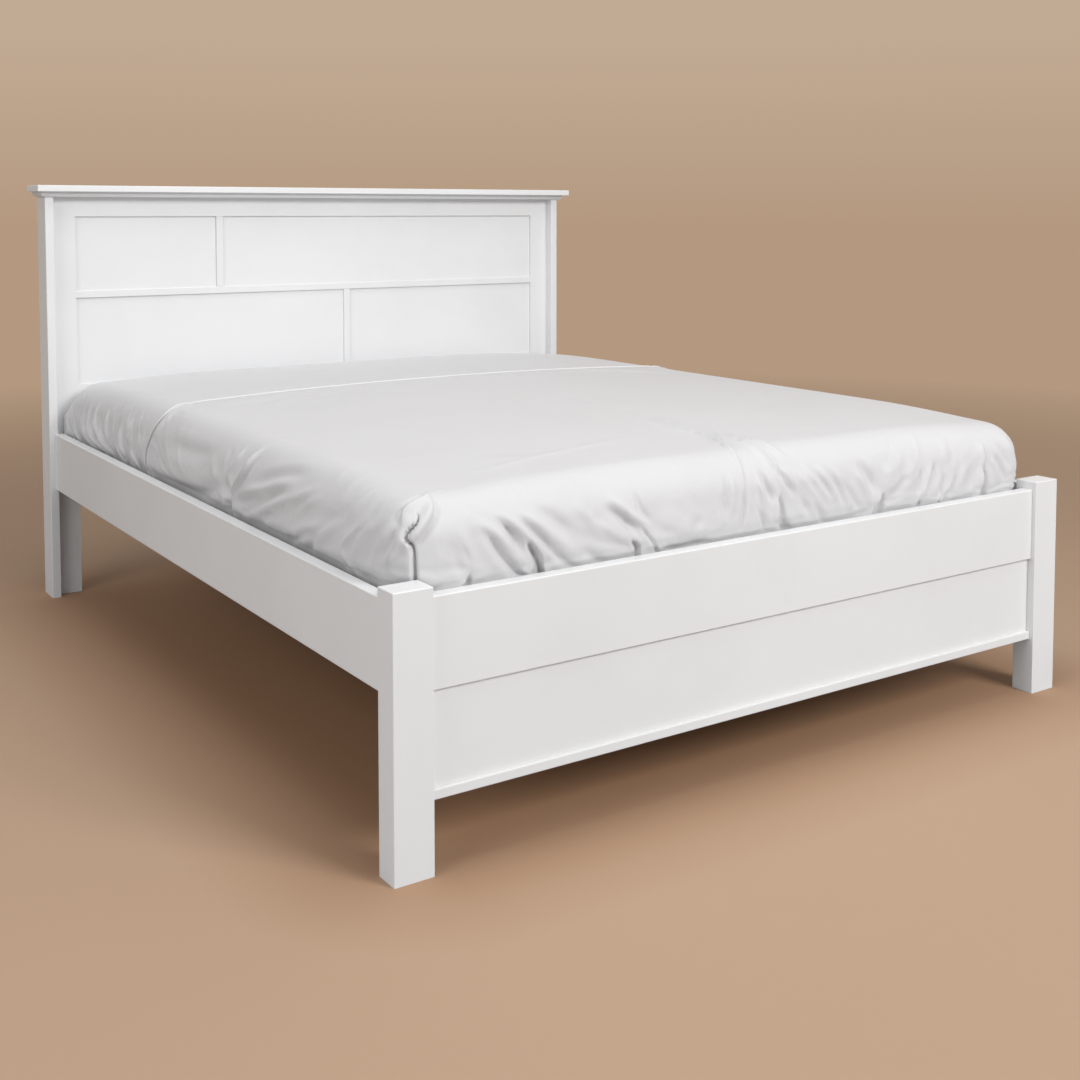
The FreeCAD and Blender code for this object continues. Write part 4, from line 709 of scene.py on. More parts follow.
# Folds of the top sheet: kind, side, (along, below) places, half width, height, and where it fades if
# not at both ends.
TOP_FOLDS = (
    # left side, from the hem to the foot
    ("valley", "left", ((0.18, 0.065), (0.09, 0.072), (-0.04, 0.070), (-0.17, 0.058)), 0.018, 0.0035),
    ("ridge", "left", ((0.17, 0.118), (0.0, 0.112), (-0.11, 0.118)), 0.034, 0.0050),
    ("valley", "left", ((0.18, 0.165), (0.07, 0.168), (-0.04, 0.158), (-0.16, 0.132), (-0.225, 0.11)),
     0.020, 0.0080),
    ("ridge", "left", ((-0.12, 0.06), (-0.15, 0.09), (-0.19, 0.118)), 0.018, 0.0035),
    ("valley", "left", ((-0.21, 0.03), (-0.215, 0.06), (-0.21, 0.09)), 0.012, 0.0030),
    ("ridge", "left", ((-0.27, 0.02), (-0.255, 0.055), (-0.215, 0.10)), 0.012, 0.0040),
    ("pleat-", "left", ((-0.352, 0.012), (-0.335, 0.035), (-0.322, 0.060), (-0.298, 0.088), (-0.255, 0.130)),
     0.018, 0.0090),
    ("crease", "left", ((-0.52, -0.05), (-0.43, -0.025), (-0.36, 0.0)), 0.014, 0.0035),
    ("valley", "left", ((-0.20, 0.110), (-0.245, 0.128), (-0.238, 0.155), (-0.235, 0.20)), 0.016, 0.0110,
     "start"),
    ("valley", "left", ((-0.25, 0.140), (-0.34, 0.128), (-0.44, 0.100)), 0.015, 0.0085),
    ("valley", "left", ((-0.29, 0.153), (-0.37, 0.143)), 0.010, 0.0040),
    ("ridge", "left", ((-0.57, 0.038), (-0.425, 0.082), (-0.30, 0.116)), 0.012, 0.0055),
    ("valley", "left", ((-0.61, 0.028), (-0.466, 0.055), (-0.36, 0.090)), 0.014, 0.0055),
    ("ridge", "left", ((-0.70, 0.036), (-0.465, 0.114), (-0.33, 0.166)), 0.012, 0.0060),
    ("valley", "left", ((-0.56, 0.060), (-0.465, 0.092), (-0.40, 0.120)), 0.009, 0.0045),
    ("valley", "left", ((-0.48, 0.120), (-0.42, 0.148)), 0.011, 0.0040),
    ("ridge", "left", ((-0.71, 0.052), (-0.61, 0.086), (-0.49, 0.152)), 0.011, 0.0050),
    ("valley", "left", ((-0.67, 0.050), (-0.585, 0.098), (-0.51, 0.140)), 0.009, 0.0045),
    ("ridge", "left", ((-0.72, 0.096), (-0.61, 0.136), (-0.53, 0.182)), 0.011, 0.0055),
    ("valley", "left", ((-0.69, 0.112), (-0.585, 0.152), (-0.51, 0.185)), 0.010, 0.0055),
    ("valley", "left", ((-0.72, 0.122), (-0.66, 0.148), (-0.62, 0.180)), 0.012, 0.0050),
    ("ridge", "left", ((-0.80, 0.070), (-0.72, 0.117), (-0.65, 0.170)), 0.014, 0.0050),
    ("valley", "left", ((-0.83, 0.055), (-0.76, 0.085), (-0.70, 0.10)), 0.020, 0.0025),
    ("crease", "left", ((-0.885, 0.048), (-0.860, 0.077), (-0.810, 0.114), (-0.785, 0.134)), 0.013, 0.0055),
    ("valley", "left", ((-0.90, 0.035), (-0.885, 0.06), (-0.85, 0.10)), 0.012, 0.0030),
    ("ridge", "left", ((-0.91, 0.045), (-0.87, 0.097), (-0.83, 0.145)), 0.016, 0.0040),
    ("valley", "left", ((-0.935, 0.050), (-0.91, 0.10), (-0.88, 0.150)), 0.012, 0.0035),
    ("valley", "left", ((-0.968, 0.055), (-0.958, 0.088), (-0.935, 0.125)), 0.009, 0.0050),
    ("ridge", "left", ((-0.985, 0.050), (-0.972, 0.09), (-0.952, 0.13)), 0.008, 0.0040),
    ("pleat-", "left", ((-1.045, 0.004), (-1.028, 0.030), (-1.010, 0.058), (-0.996, 0.080), (-0.980, 0.104)),
     0.020, 0.0090),
    # foot side, from left to right
    ("pleat-", "foot", ((-0.700, 0.000), (-0.745, 0.003), (-0.784, 0.010), (-0.803, 0.024),
                        (-0.802, 0.042), (-0.788, 0.056)), 0.020, 0.0100),
    ("ridge", "foot", ((-0.700, 0.060), (-0.686, 0.110), (-0.668, 0.165)), 0.012, 0.0030),
    ("valley", "foot", ((-0.720, 0.080), (-0.710, 0.120), (-0.700, 0.160)), 0.014, 0.0025),
    ("valley", "foot", ((-0.655, 0.062), (-0.625, 0.118), (-0.594, 0.152), (-0.555, 0.185)), 0.010, 0.0085),
    ("ridge", "foot", ((-0.672, 0.046), (-0.625, 0.092), (-0.590, 0.135), (-0.550, 0.182)), 0.009, 0.0075),
    ("valley", "foot", ((-0.625, 0.052), (-0.596, 0.092), (-0.578, 0.130)), 0.008, 0.0075),
    ("ridge", "foot", ((-0.635, 0.040), (-0.584, 0.080), (-0.542, 0.120), (-0.500, 0.165)), 0.010, 0.0090),
    ("valley", "foot", ((-0.585, 0.062), (-0.532, 0.113), (-0.500, 0.144), (-0.445, 0.180)), 0.009, 0.0070),
    ("ridge", "foot", ((-0.595, 0.046), (-0.542, 0.076), (-0.495, 0.118), (-0.450, 0.156)), 0.011, 0.0055),
    ("valley", "foot", ((-0.545, 0.048), (-0.500, 0.080), (-0.470, 0.110)), 0.014, 0.0035),
    ("crease", "foot", ((-0.460, 0.045), (-0.435, 0.080), (-0.405, 0.120)), 0.012, 0.0040),
    ("valley", "foot", ((-0.460, 0.130), (-0.420, 0.155), (-0.39, 0.180)), 0.014, 0.0040),
    ("valley", "foot", ((-0.395, 0.062), (-0.356, 0.097), (-0.318, 0.122)), 0.010, 0.0075),
    ("ridge", "foot", ((-0.395, 0.042), (-0.344, 0.082), (-0.285, 0.125)), 0.011, 0.0065),
    ("ridge", "foot", ((-0.42, 0.085), (-0.375, 0.118), (-0.325, 0.145)), 0.010, 0.0045),
    ("valley", "foot", ((-0.322, 0.045), (-0.310, 0.086), (-0.288, 0.108)), 0.008, 0.0030),
    ("valley", "foot", ((-0.285, 0.170), (-0.20, 0.168), (-0.13, 0.160)), 0.016, 0.0055),
    ("ridge", "foot", ((-0.270, 0.080), (-0.235, 0.115), (-0.18, 0.140)), 0.028, 0.0035),
    ("valley", "foot", ((-0.168, 0.100), (-0.185, 0.130), (-0.200, 0.165)), 0.010, 0.0030),
    ("ridge", "foot", ((-0.110, 0.098), (-0.125, 0.135), (-0.142, 0.172)), 0.007, 0.0035),
    ("valley", "foot", ((-0.092, 0.035), (-0.103, 0.091), (-0.118, 0.135)), 0.007, 0.0050),
    ("ridge", "foot", ((-0.080, 0.030), (-0.088, 0.085), (-0.100, 0.130)), 0.008, 0.0035),
    # the long fold in the middle of the top, which runs over the edge into a dart
    ("pleat+", "foot", ((0.012, -0.430), (0.002, -0.250), (-0.006, -0.090), (-0.030, -0.020), (-0.048, 0.02),
                        (-0.054, 0.060), (-0.062, 0.110)), 0.014, 0.0090),
    ("crease", "foot", ((0.000, -0.200), (0.012, -0.110), (0.014, -0.030), (0.036, 0.030), (0.052, 0.070),
                        (0.068, 0.110)), 0.012, 0.0085),
    ("crease", "foot", ((0.035, -0.130), (0.042, -0.050), (0.060, 0.010), (0.088, 0.050)), 0.011, 0.0070),
    ("valley", "foot", ((-0.052, 0.070), (-0.062, 0.118), (-0.078, 0.165)), 0.006, 0.0050),
    ("valley", "foot", ((-0.006, 0.035), (0.004, 0.074), (0.020, 0.112)), 0.009, 0.0065),
    ("ridge", "foot", ((-0.020, 0.045), (-0.008, 0.105), (0.008, 0.160)), 0.008, 0.0045),
    ("valley", "foot", ((-0.022, 0.110), (-0.014, 0.140), (-0.004, 0.165)), 0.006, 0.0035),
    ("valley", "foot", ((0.034, 0.038), (0.056, 0.072), (0.075, 0.108)), 0.007, 0.0060),
    ("ridge", "foot", ((0.046, 0.030), (0.076, 0.078), (0.104, 0.130)), 0.009, 0.0060),
    ("valley", "foot", ((0.072, 0.066), (0.098, 0.115), (0.124, 0.155)), 0.009, 0.0060),
    ("ridge", "foot", ((0.082, 0.044), (0.124, 0.098), (0.150, 0.132)), 0.009, 0.0050),
    ("valley", "foot", ((0.128, 0.118), (0.145, 0.145), (0.165, 0.172)), 0.008, 0.0050),
    ("ridge", "foot", ((0.108, 0.040), (0.142, 0.088), (0.178, 0.132)), 0.008, 0.0045),
    ("valley", "foot", ((0.126, 0.045), (0.155, 0.082), (0.182, 0.122)), 0.006, 0.0040),
    ("ridge", "foot", ((0.145, 0.040), (0.175, 0.090), (0.206, 0.145)), 0.008, 0.0045),
    ("valley", "foot", ((0.168, 0.048), (0.195, 0.095), (0.220, 0.145)), 0.008, 0.0045),
    ("ridge", "foot", ((0.190, 0.048), (0.216, 0.105), (0.245, 0.165)), 0.009, 0.0045),
    ("valley", "foot", ((0.208, 0.080), (0.236, 0.122), (0.265, 0.160)), 0.010, 0.0050),
    ("valley", "foot", ((0.262, 0.048), (0.290, 0.088), (0.304, 0.125)), 0.014, 0.0055),
    ("ridge", "foot", ((0.248, 0.058), (0.280, 0.118), (0.298, 0.160)), 0.010, 0.0050),
    ("ridge", "foot", ((0.350, 0.060), (0.350, 0.095), (0.360, 0.125)), 0.022, 0.0050),
    ("valley", "foot", ((0.405, 0.090), (0.385, 0.110), (0.366, 0.128)), 0.008, 0.0035),
    ("ridge", "foot", ((0.425, 0.060), (0.415, 0.105), (0.390, 0.150)), 0.018, 0.0035),
    ("valley", "foot", ((0.455, 0.080), (0.443, 0.110), (0.430, 0.145)), 0.007, 0.0045),
    ("ridge", "foot", ((0.488, 0.065), (0.458, 0.124), (0.434, 0.170)), 0.009, 0.0055),
    ("valley", "foot", ((0.500, 0.070), (0.480, 0.115), (0.462, 0.150)), 0.008, 0.0045),
    ("valley", "foot", ((0.525, 0.095), (0.512, 0.125), (0.496, 0.160)), 0.007, 0.0055),
    ("ridge", "foot", ((0.553, 0.100), (0.526, 0.145), (0.494, 0.180)), 0.006, 0.0050),
    ("valley", "foot", ((0.566, 0.095), (0.542, 0.140), (0.512, 0.172)), 0.007, 0.0060),
    ("ridge", "foot", ((0.590, 0.070), (0.580, 0.110), (0.565, 0.150)), 0.010, 0.0035),
    ("valley", "foot", ((0.610, 0.080), (0.605, 0.120), (0.595, 0.155)), 0.008, 0.0030),
    ("ridge", "foot", ((0.650, 0.040), (0.652, 0.070), (0.650, 0.105)), 0.010, 0.0040),
    ("valley", "foot", ((0.686, 0.072), (0.704, 0.104), (0.722, 0.140)), 0.008, 0.0050),
    ("ridge", "foot", ((0.668, 0.070), (0.690, 0.110), (0.700, 0.150)), 0.009, 0.0040),
    ("valley", "foot", ((0.706, 0.045), (0.720, 0.078), (0.732, 0.115)), 0.009, 0.0045),
    ("ridge", "foot", ((0.738, 0.030), (0.752, 0.080), (0.760, 0.140)), 0.010, 0.0040),
    # faint folds on the top
    ("crease", "foot", ((-0.70, -0.040), (-0.515, -0.080), (-0.222, -0.150), (-0.07, -0.160)), 0.016, 0.0025),
    ("valley", "foot", ((-0.54, -0.190), (-0.44, -0.150), (-0.35, -0.110)), 0.022, 0.0016),
    ("crease", "foot", ((0.04, -0.72), (0.022, -0.58), (0.010, -0.42)), 0.018, 0.0020),
    ("valley", "foot", ((-0.030, -0.46), (-0.025, -0.28), (-0.035, -0.12)), 0.016, 0.0022),
    ("valley", "foot", ((0.060, -0.26), (0.066, -0.14), (0.080, -0.06)), 0.014, 0.0018),
    ("ridge", "left", ((0.05, -0.75), (0.03, -0.45), (0.02, -0.12)), 0.024, 0.0014),
    ("ridge", "left", ((-0.12, -1.20), (-0.16, -0.90), (-0.15, -0.50)), 0.028, 0.0014),
    # right side
    ("ridge", "right", ((-0.92, 0.05), (-0.90, 0.10), (-0.87, 0.17)), 0.014, 0.0045),
    ("valley", "right", ((-0.82, 0.04), (-0.77, 0.10), (-0.72, 0.16)), 0.014, 0.0050),
    ("ridge", "right", ((-0.78, 0.03), (-0.73, 0.09), (-0.67, 0.16)), 0.012, 0.0050),
    ("ridge", "right", ((-0.62, 0.04), (-0.54, 0.10), (-0.47, 0.17)), 0.014, 0.0055),
    ("valley", "right", ((-0.56, 0.04), (-0.48, 0.10), (-0.41, 0.17)), 0.012, 0.0055),
    ("ridge", "right", ((-0.50, 0.04), (-0.43, 0.09), (-0.36, 0.15)), 0.012, 0.0050),
    ("valley", "right", ((-0.25, 0.03), (-0.27, 0.08), (-0.30, 0.13)), 0.012, 0.0045),
    ("ridge", "right", ((-0.22, 0.04), (-0.20, 0.10), (-0.17, 0.16)), 0.020, 0.0040),
    ("valley", "right", ((-0.05, 0.04), (-0.01, 0.10), (0.02, 0.16)), 0.014, 0.0050),
    ("ridge", "right", ((0.00, 0.04), (0.05, 0.09), (0.09, 0.15)), 0.012, 0.0050),
)

# Darts of the top sheet: side, (along, below) places, width of the opening, depth, how far the cloth
# stands proud beside it.
TOP_DARTS = (
    ("left", ((-0.785, 0.136), (-0.825, 0.158), (-0.845, 0.175), (-0.850, 0.24)), 0.060, 0.015, 0.005),
    ("left", ((-0.225, 0.135), (-0.240, 0.158), (-0.255, 0.182), (-0.26, 0.24)), 0.035, 0.015, 0.005),
    ("foot", ((-0.784, 0.022), (-0.774, 0.042), (-0.792, 0.070), (-0.781, 0.094), (-0.779, 0.155),
              (-0.779, 0.24)), 0.008, 0.020, 0.0045),
    ("foot", ((-0.685, 0.138), (-0.692, 0.158), (-0.700, 0.175), (-0.702, 0.24)), 0.026, 0.015, 0.005),
    ("foot", ((-0.572, 0.096), (-0.552, 0.120), (-0.538, 0.145), (-0.530, 0.178), (-0.530, 0.24)), -0.030,
     0.017, 0.006),
    ("foot", ((-0.318, 0.108), (-0.300, 0.128), (-0.280, 0.150), (-0.262, 0.18)), -0.012, 0.005, 0.003),
    ("foot", ((-0.345, 0.128), (-0.325, 0.142), (-0.316, 0.160), (-0.316, 0.24)), -0.024, 0.015, 0.005),
    ("foot", ((0.038, 0.086), (0.031, 0.115), (0.032, 0.150), (0.042, 0.178), (0.044, 0.24)), 0.036, 0.017,
     0.006),
    ("foot", ((0.328, 0.118), (0.314, 0.145), (0.296, 0.175), (0.292, 0.24)), 0.048, 0.024, 0.009),
    ("foot", ((0.445, 0.140), (0.438, 0.158), (0.430, 0.175), (0.428, 0.24)), 0.026, 0.010, 0.003),
    ("foot", ((0.510, 0.150), (0.500, 0.168), (0.494, 0.180), (0.492, 0.24)), 0.016, 0.009, 0.003),
    ("foot", ((0.650, 0.096), (0.645, 0.130), (0.639, 0.172), (0.638, 0.24)), 0.036, 0.024, 0.009),
    ("right", ((-0.70, 0.110), (-0.71, 0.14), (-0.72, 0.24)), 0.034, 0.015, 0.005),
    ("right", ((-0.35, 0.09), (-0.33, 0.13), (-0.32, 0.24)), -0.034, 0.015, 0.005),
    ("right", ((0.10, 0.115), (0.09, 0.15), (0.085, 0.24)), 0.026, 0.008, 0.004),
)

# Gathers of the fitted sheet near the headboard, on both sides: kind, (Y, below) places, half width,
# height.
GATHERS = (
    ("valley", ((0.950, 0.060), (0.953, 0.120), (0.920, 0.170), (0.88, 0.21)), 0.009, 0.0060),
    ("ridge", ((0.930, 0.040), (0.933, 0.110), (0.900, 0.170), (0.86, 0.21)), 0.009, 0.0045),
    ("ridge", ((0.910, 0.060), (0.912, 0.135), (0.875, 0.172), (0.790, 0.205)), 0.009, 0.0055),
    ("valley", ((0.872, 0.060), (0.845, 0.130), (0.780, 0.175), (0.73, 0.21)), 0.009, 0.0060),
    ("ridge", ((0.848, 0.050), (0.832, 0.118), (0.785, 0.152), (0.715, 0.185)), 0.008, 0.0050),
    ("valley", ((0.822, 0.050), (0.813, 0.110), (0.768, 0.144), (0.705, 0.170), (0.640, 0.195)), 0.009,
     0.0085),
    ("ridge", ((0.794, 0.035), (0.785, 0.110), (0.738, 0.148), (0.675, 0.180)), 0.008, 0.0060),
    ("valley", ((0.764, 0.060), (0.756, 0.115), (0.711, 0.140), (0.650, 0.160), (0.595, 0.182)), 0.009,
     0.0085),
    ("ridge", ((0.735, 0.035), (0.727, 0.092), (0.684, 0.124), (0.630, 0.148), (0.575, 0.170)), 0.010,
     0.0065),
    ("valley", ((0.690, 0.060), (0.672, 0.110), (0.622, 0.140), (0.560, 0.170)), 0.010, 0.0040),
    ("ridge", ((0.640, 0.050), (0.632, 0.100), (0.600, 0.135)), 0.016, 0.0035),
    ("valley", ((0.574, 0.035), (0.566, 0.100), (0.578, 0.150)), 0.008, 0.0055),
    ("valley", ((0.552, 0.118), (0.520, 0.152), (0.475, 0.178), (0.455, 0.21)), 0.009, 0.0080),
    ("ridge", ((0.516, 0.065), (0.500, 0.125), (0.472, 0.160)), 0.010, 0.0055),
    ("valley", ((0.472, 0.030), (0.465, 0.062), (0.466, 0.095)), 0.007, 0.0050),
    ("ridge", ((0.448, 0.050), (0.449, 0.085), (0.452, 0.120)), 0.009, 0.0040),
    ("valley", ((0.453, 0.138), (0.428, 0.164), (0.388, 0.182), (0.37, 0.21)), 0.008, 0.0080),
    ("ridge", ((0.430, 0.120), (0.400, 0.148), (0.365, 0.172)), 0.009, 0.0045),
    ("valley", ((0.368, 0.065), (0.354, 0.108), (0.386, 0.160)), 0.008, 0.0050),
    ("ridge", ((0.330, 0.060), (0.345, 0.118), (0.378, 0.168)), 0.009, 0.0045),
)


def cotton_finish(name, colour, bedding):
    """Woven cotton with a soft sheen and fine creases."""
    finish = Finish(name)
    finish.set(Roughness=0.62)
    finish.shader.inputs["Sheen Weight"].default_value = 0.18
    finish.shader.inputs["Sheen Roughness"].default_value = 0.4
    cloudy = finish.noise(finish.place(), 5.0, 3.0, 0.6)
    finish.link(finish.ramp(cloudy, [(0.3, shade(colour, 0.975)), (0.7, colour)]), "Base Color")
    weave = finish.noise(finish.place(), 900.0, 1.0)
    creases = finish.noise(finish.place(scale=(1.0, 2.6, 1.0)), 16.0, 4.0, 0.62, 0.5)
    crumple = finish.noise(finish.place(scale=(1.6, 1.0, 1.0)), 46.0, 3.0, 0.55, 0.3)
    height = finish.sum(finish.sum(creases, crumple, 0.35), weave, 0.02)
    finish.bump(height, bedding.fine_creases, 1.0)
    finish.link(finish.spread(creases, 0.56, 0.70), "Roughness")
    return finish.material


def ticking_finish(bedding):
    """Quilted ticking: small diamonds stitched into the border and the top."""
    finish = Finish("mattress_ticking")
    finish.set(Roughness=0.8)
    finish.shader.inputs["Sheen Weight"].default_value = 0.25
    point = finish.place(scale=(14, 14, 14), turn=(0, 0, math.pi / 4))
    lines = [finish.node("ShaderNodeTexWave", {"Vector": point, "Scale": 1.0, "Distortion": 0.0},
                         wave_type="BANDS", bands_direction=axis).outputs["Fac"] for axis in "XY"]
    quilt = finish.node("ShaderNodeMath", {0: lines[0], 1: lines[1]}, operation="MINIMUM").outputs[0]
    weave = finish.noise(finish.place(scale=(1, 4, 1)), 500.0, 2.0)
    finish.link(finish.ramp(quilt, [(0.0, shade(bedding.ticking_colour, 0.86)),
                                    (0.35, bedding.ticking_colour)]), "Base Color")
    finish.bump(finish.sum(quilt, weave, 0.05), 0.003, 0.6)
    return finish.material


def apply(piece, modifier):
    with bpy.context.temp_override(object=piece, active_object=piece, selected_objects=[piece]):
        bpy.ops.object.modifier_apply(modifier=modifier.name)


def thicken(piece, thickness):
    """Gives a cloth its thickness, towards the mattress."""
    wall = piece.modifiers.new("thickness", "SOLIDIFY")
    wall.thickness = thickness
    wall.offset = -1.0
    wall.use_rim = True
    apply(piece, wall)


def cord_along(name, points, radius, material, closed=False):
    """A round cord along a row of points, as a mesh."""
    curve = bpy.data.curves.new(name, "CURVE")
    curve.dimensions = "3D"
    line = curve.splines.new("POLY")
    line.points.add(len(points) - 1)
    for place, point in zip(line.points, points):
        place.co = (*point, 1)
    line.use_cyclic_u = closed
    curve.bevel_depth = radius
    curve.bevel_resolution = 2
    curve.use_fill_caps = not closed
    holder = bpy.data.objects.new(name, curve)
    bpy.context.scene.collection.objects.link(holder)
    mesh = bpy.data.meshes.new_from_object(holder.evaluated_get(bpy.context.evaluated_depsgraph_get()))
    bpy.data.objects.remove(holder)
    mesh.name = name
    mesh.materials.clear()
    mesh.materials.append(material)
    mesh.shade_smooth()
    made = bpy.data.objects.new(name, mesh)
    bpy.context.scene.collection.objects.link(made)
    return made


def grid_inside(form, inset, step, low_y=-9.0, high_y=9.0):
    """Points on the top, further inside the form than inset, in staggered rows."""
    made = []
    row = 0
    y = form.middle_y - form.half_y + inset
    while y < form.middle_y + form.half_y - inset:
        x = -form.half_x + inset + (row % 2) * step / 2
        while x < form.half_x - inset:
            dx = max(0.0, abs(x) - (form.half_x - 0.1))
            dy = max(0.0, abs(y - form.middle_y) - (form.half_y - 0.1))
            if math.hypot(dx, dy) < 0.1 - inset and low_y < y < high_y:
                made.append((x, y))
            x += step
        y += step * 0.87
        row += 1
    return made


# ---- operators ---------------------------------------------------------------------------

class BED_OT_paint_boards(bpy.types.Operator):
    """Paint the headboard, the footboard and the side rails"""

    bl_idname = "bed.paint_boards"
    bl_label = "Paint the boards"

    def execute(self, context):
        board = context.scene.bed_boards
        paints = {axis: paint_finish(f"painted_wood_{axis}", board, axis) for axis in "xyz"}
        give(PAINTED, lambda name: paints[long_axis(name)])
        return {"FINISHED"}


class BED_OT_finish_wood(bpy.types.Operator):
    """Give the slats, the cleats, the centre beam, the legs and the dowels their bare wood"""

    bl_idname = "bed.finish_wood"
    bl_label = "Finish the bare wood"

    def execute(self, context):
        board = context.scene.bed_boards
        places = {name: (0.37 * k % 1.9, 0.0, 0.23 * k % 0.7) for k, name in enumerate(BARE_WOOD)}
        give(BARE_WOOD,
             lambda name: wood_finish(f"bare_wood_{name}", board, long_axis(name), places[name]))
        return {"FINISHED"}


class BED_OT_finish_fittings(bpy.types.Operator):
    """Give the plates, the saddles, the bolts, the screws and the glides their finish"""

    bl_idname = "bed.finish_fittings"
    bl_label = "Finish the fittings"

    def execute(self, context):
        board = context.scene.bed_boards
        steel, plastic = steel_finish(board), plastic_finish(board)
        give(STEEL, lambda name: steel)
        give(GLIDES, lambda name: plastic)
        return {"FINISHED"}


class BED_OT_make_mattress(bpy.types.Operator):
    """Make the mattress: a padded block, blown up a little, with a cord round each of its edges"""

    bl_idname = "bed.make_mattress"
    bl_label = "Make the mattress"

    def execute(self, context):
        bedding = context.scene.bed_bedding
        form = Form(bedding)
        ticking = ticking_finish(bedding)
        around = spaced(0.0, form.girth, lambda place: 0.02)[:-1]
        low, slack = bedding.base_round, bedding.slack
        top = form.edge - slack
        levels = []
        for k in range(7):
            angle = math.pi / 2 * k / 6
            levels.append((slack + form.round * (1 - math.sin(angle)),
                           top - form.round * (1 - math.cos(angle))))
        for k in range(1, 7):
            level = top - form.round + (form.base + low - top + form.round) * k / 6
            levels.append((slack, level))
        for k in range(1, 6):
            angle = math.pi / 2 * k / 5
            levels.append((slack + low * (1 - math.cos(angle)), form.base + low * (1 - math.sin(angle))))
        count = len(around)
        points, faces = [], []
        for inset, level in levels:
            ring, _ = form.ring(around, inset)
            points += [(x, y, level) for x, y in ring]
        for r in range(len(levels) - 1):
            for c in range(count):
                n = (c + 1) % count
                faces.append((r * count + c, (r + 1) * count + c, (r + 1) * count + n, r * count + n))
        faces.append(tuple(range(count)))
        faces.append(tuple(reversed(range((len(levels) - 1) * count, len(levels) * count))))
        block = mesh_piece("mattress_padding", points, faces, ticking)
        remesh = block.modifiers.new("remesh", "REMESH")
        remesh.mode = "VOXEL"
        remesh.voxel_size = 0.021
        apply(block, remesh)
        places = places_of(block)
        share = smooth((places[:, 2] - (top - 0.05)) / 0.05)
        places[:, 2] += form.rise(places[:, 0], places[:, 1]) * share
        set_places(block, places)
        held = np.where(places[:, 2] < form.base + 0.01, 1.0, 0.0)
        settle(block, None, held, 12, 0.0, slack * 0.35, 0.0, 4.0)
        finer = block.modifiers.new("finer", "SUBSURF")
        finer.levels = finer.render_levels = 1
        apply(block, finer)
        block.data.materials.clear()
        block.data.materials.append(ticking)
        block.data.shade_smooth()
        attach(block, "bedding")
        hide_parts("mattress")

        tape = cotton_finish("mattress_tape", bedding.ticking_colour, bedding)
        for name, inset, level in (("mattress_cord_upper", slack + 0.016, top - 0.032),
                                   ("mattress_cord_lower", slack + low * 0.3, form.base + low * 0.35)):
            ring, _ = form.ring(around, inset)
            cord = cord_along(name, [(x, y, level) for x, y in ring], 0.003, tape, closed=True)
            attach(cord, "bedding")
        return {"FINISHED"}


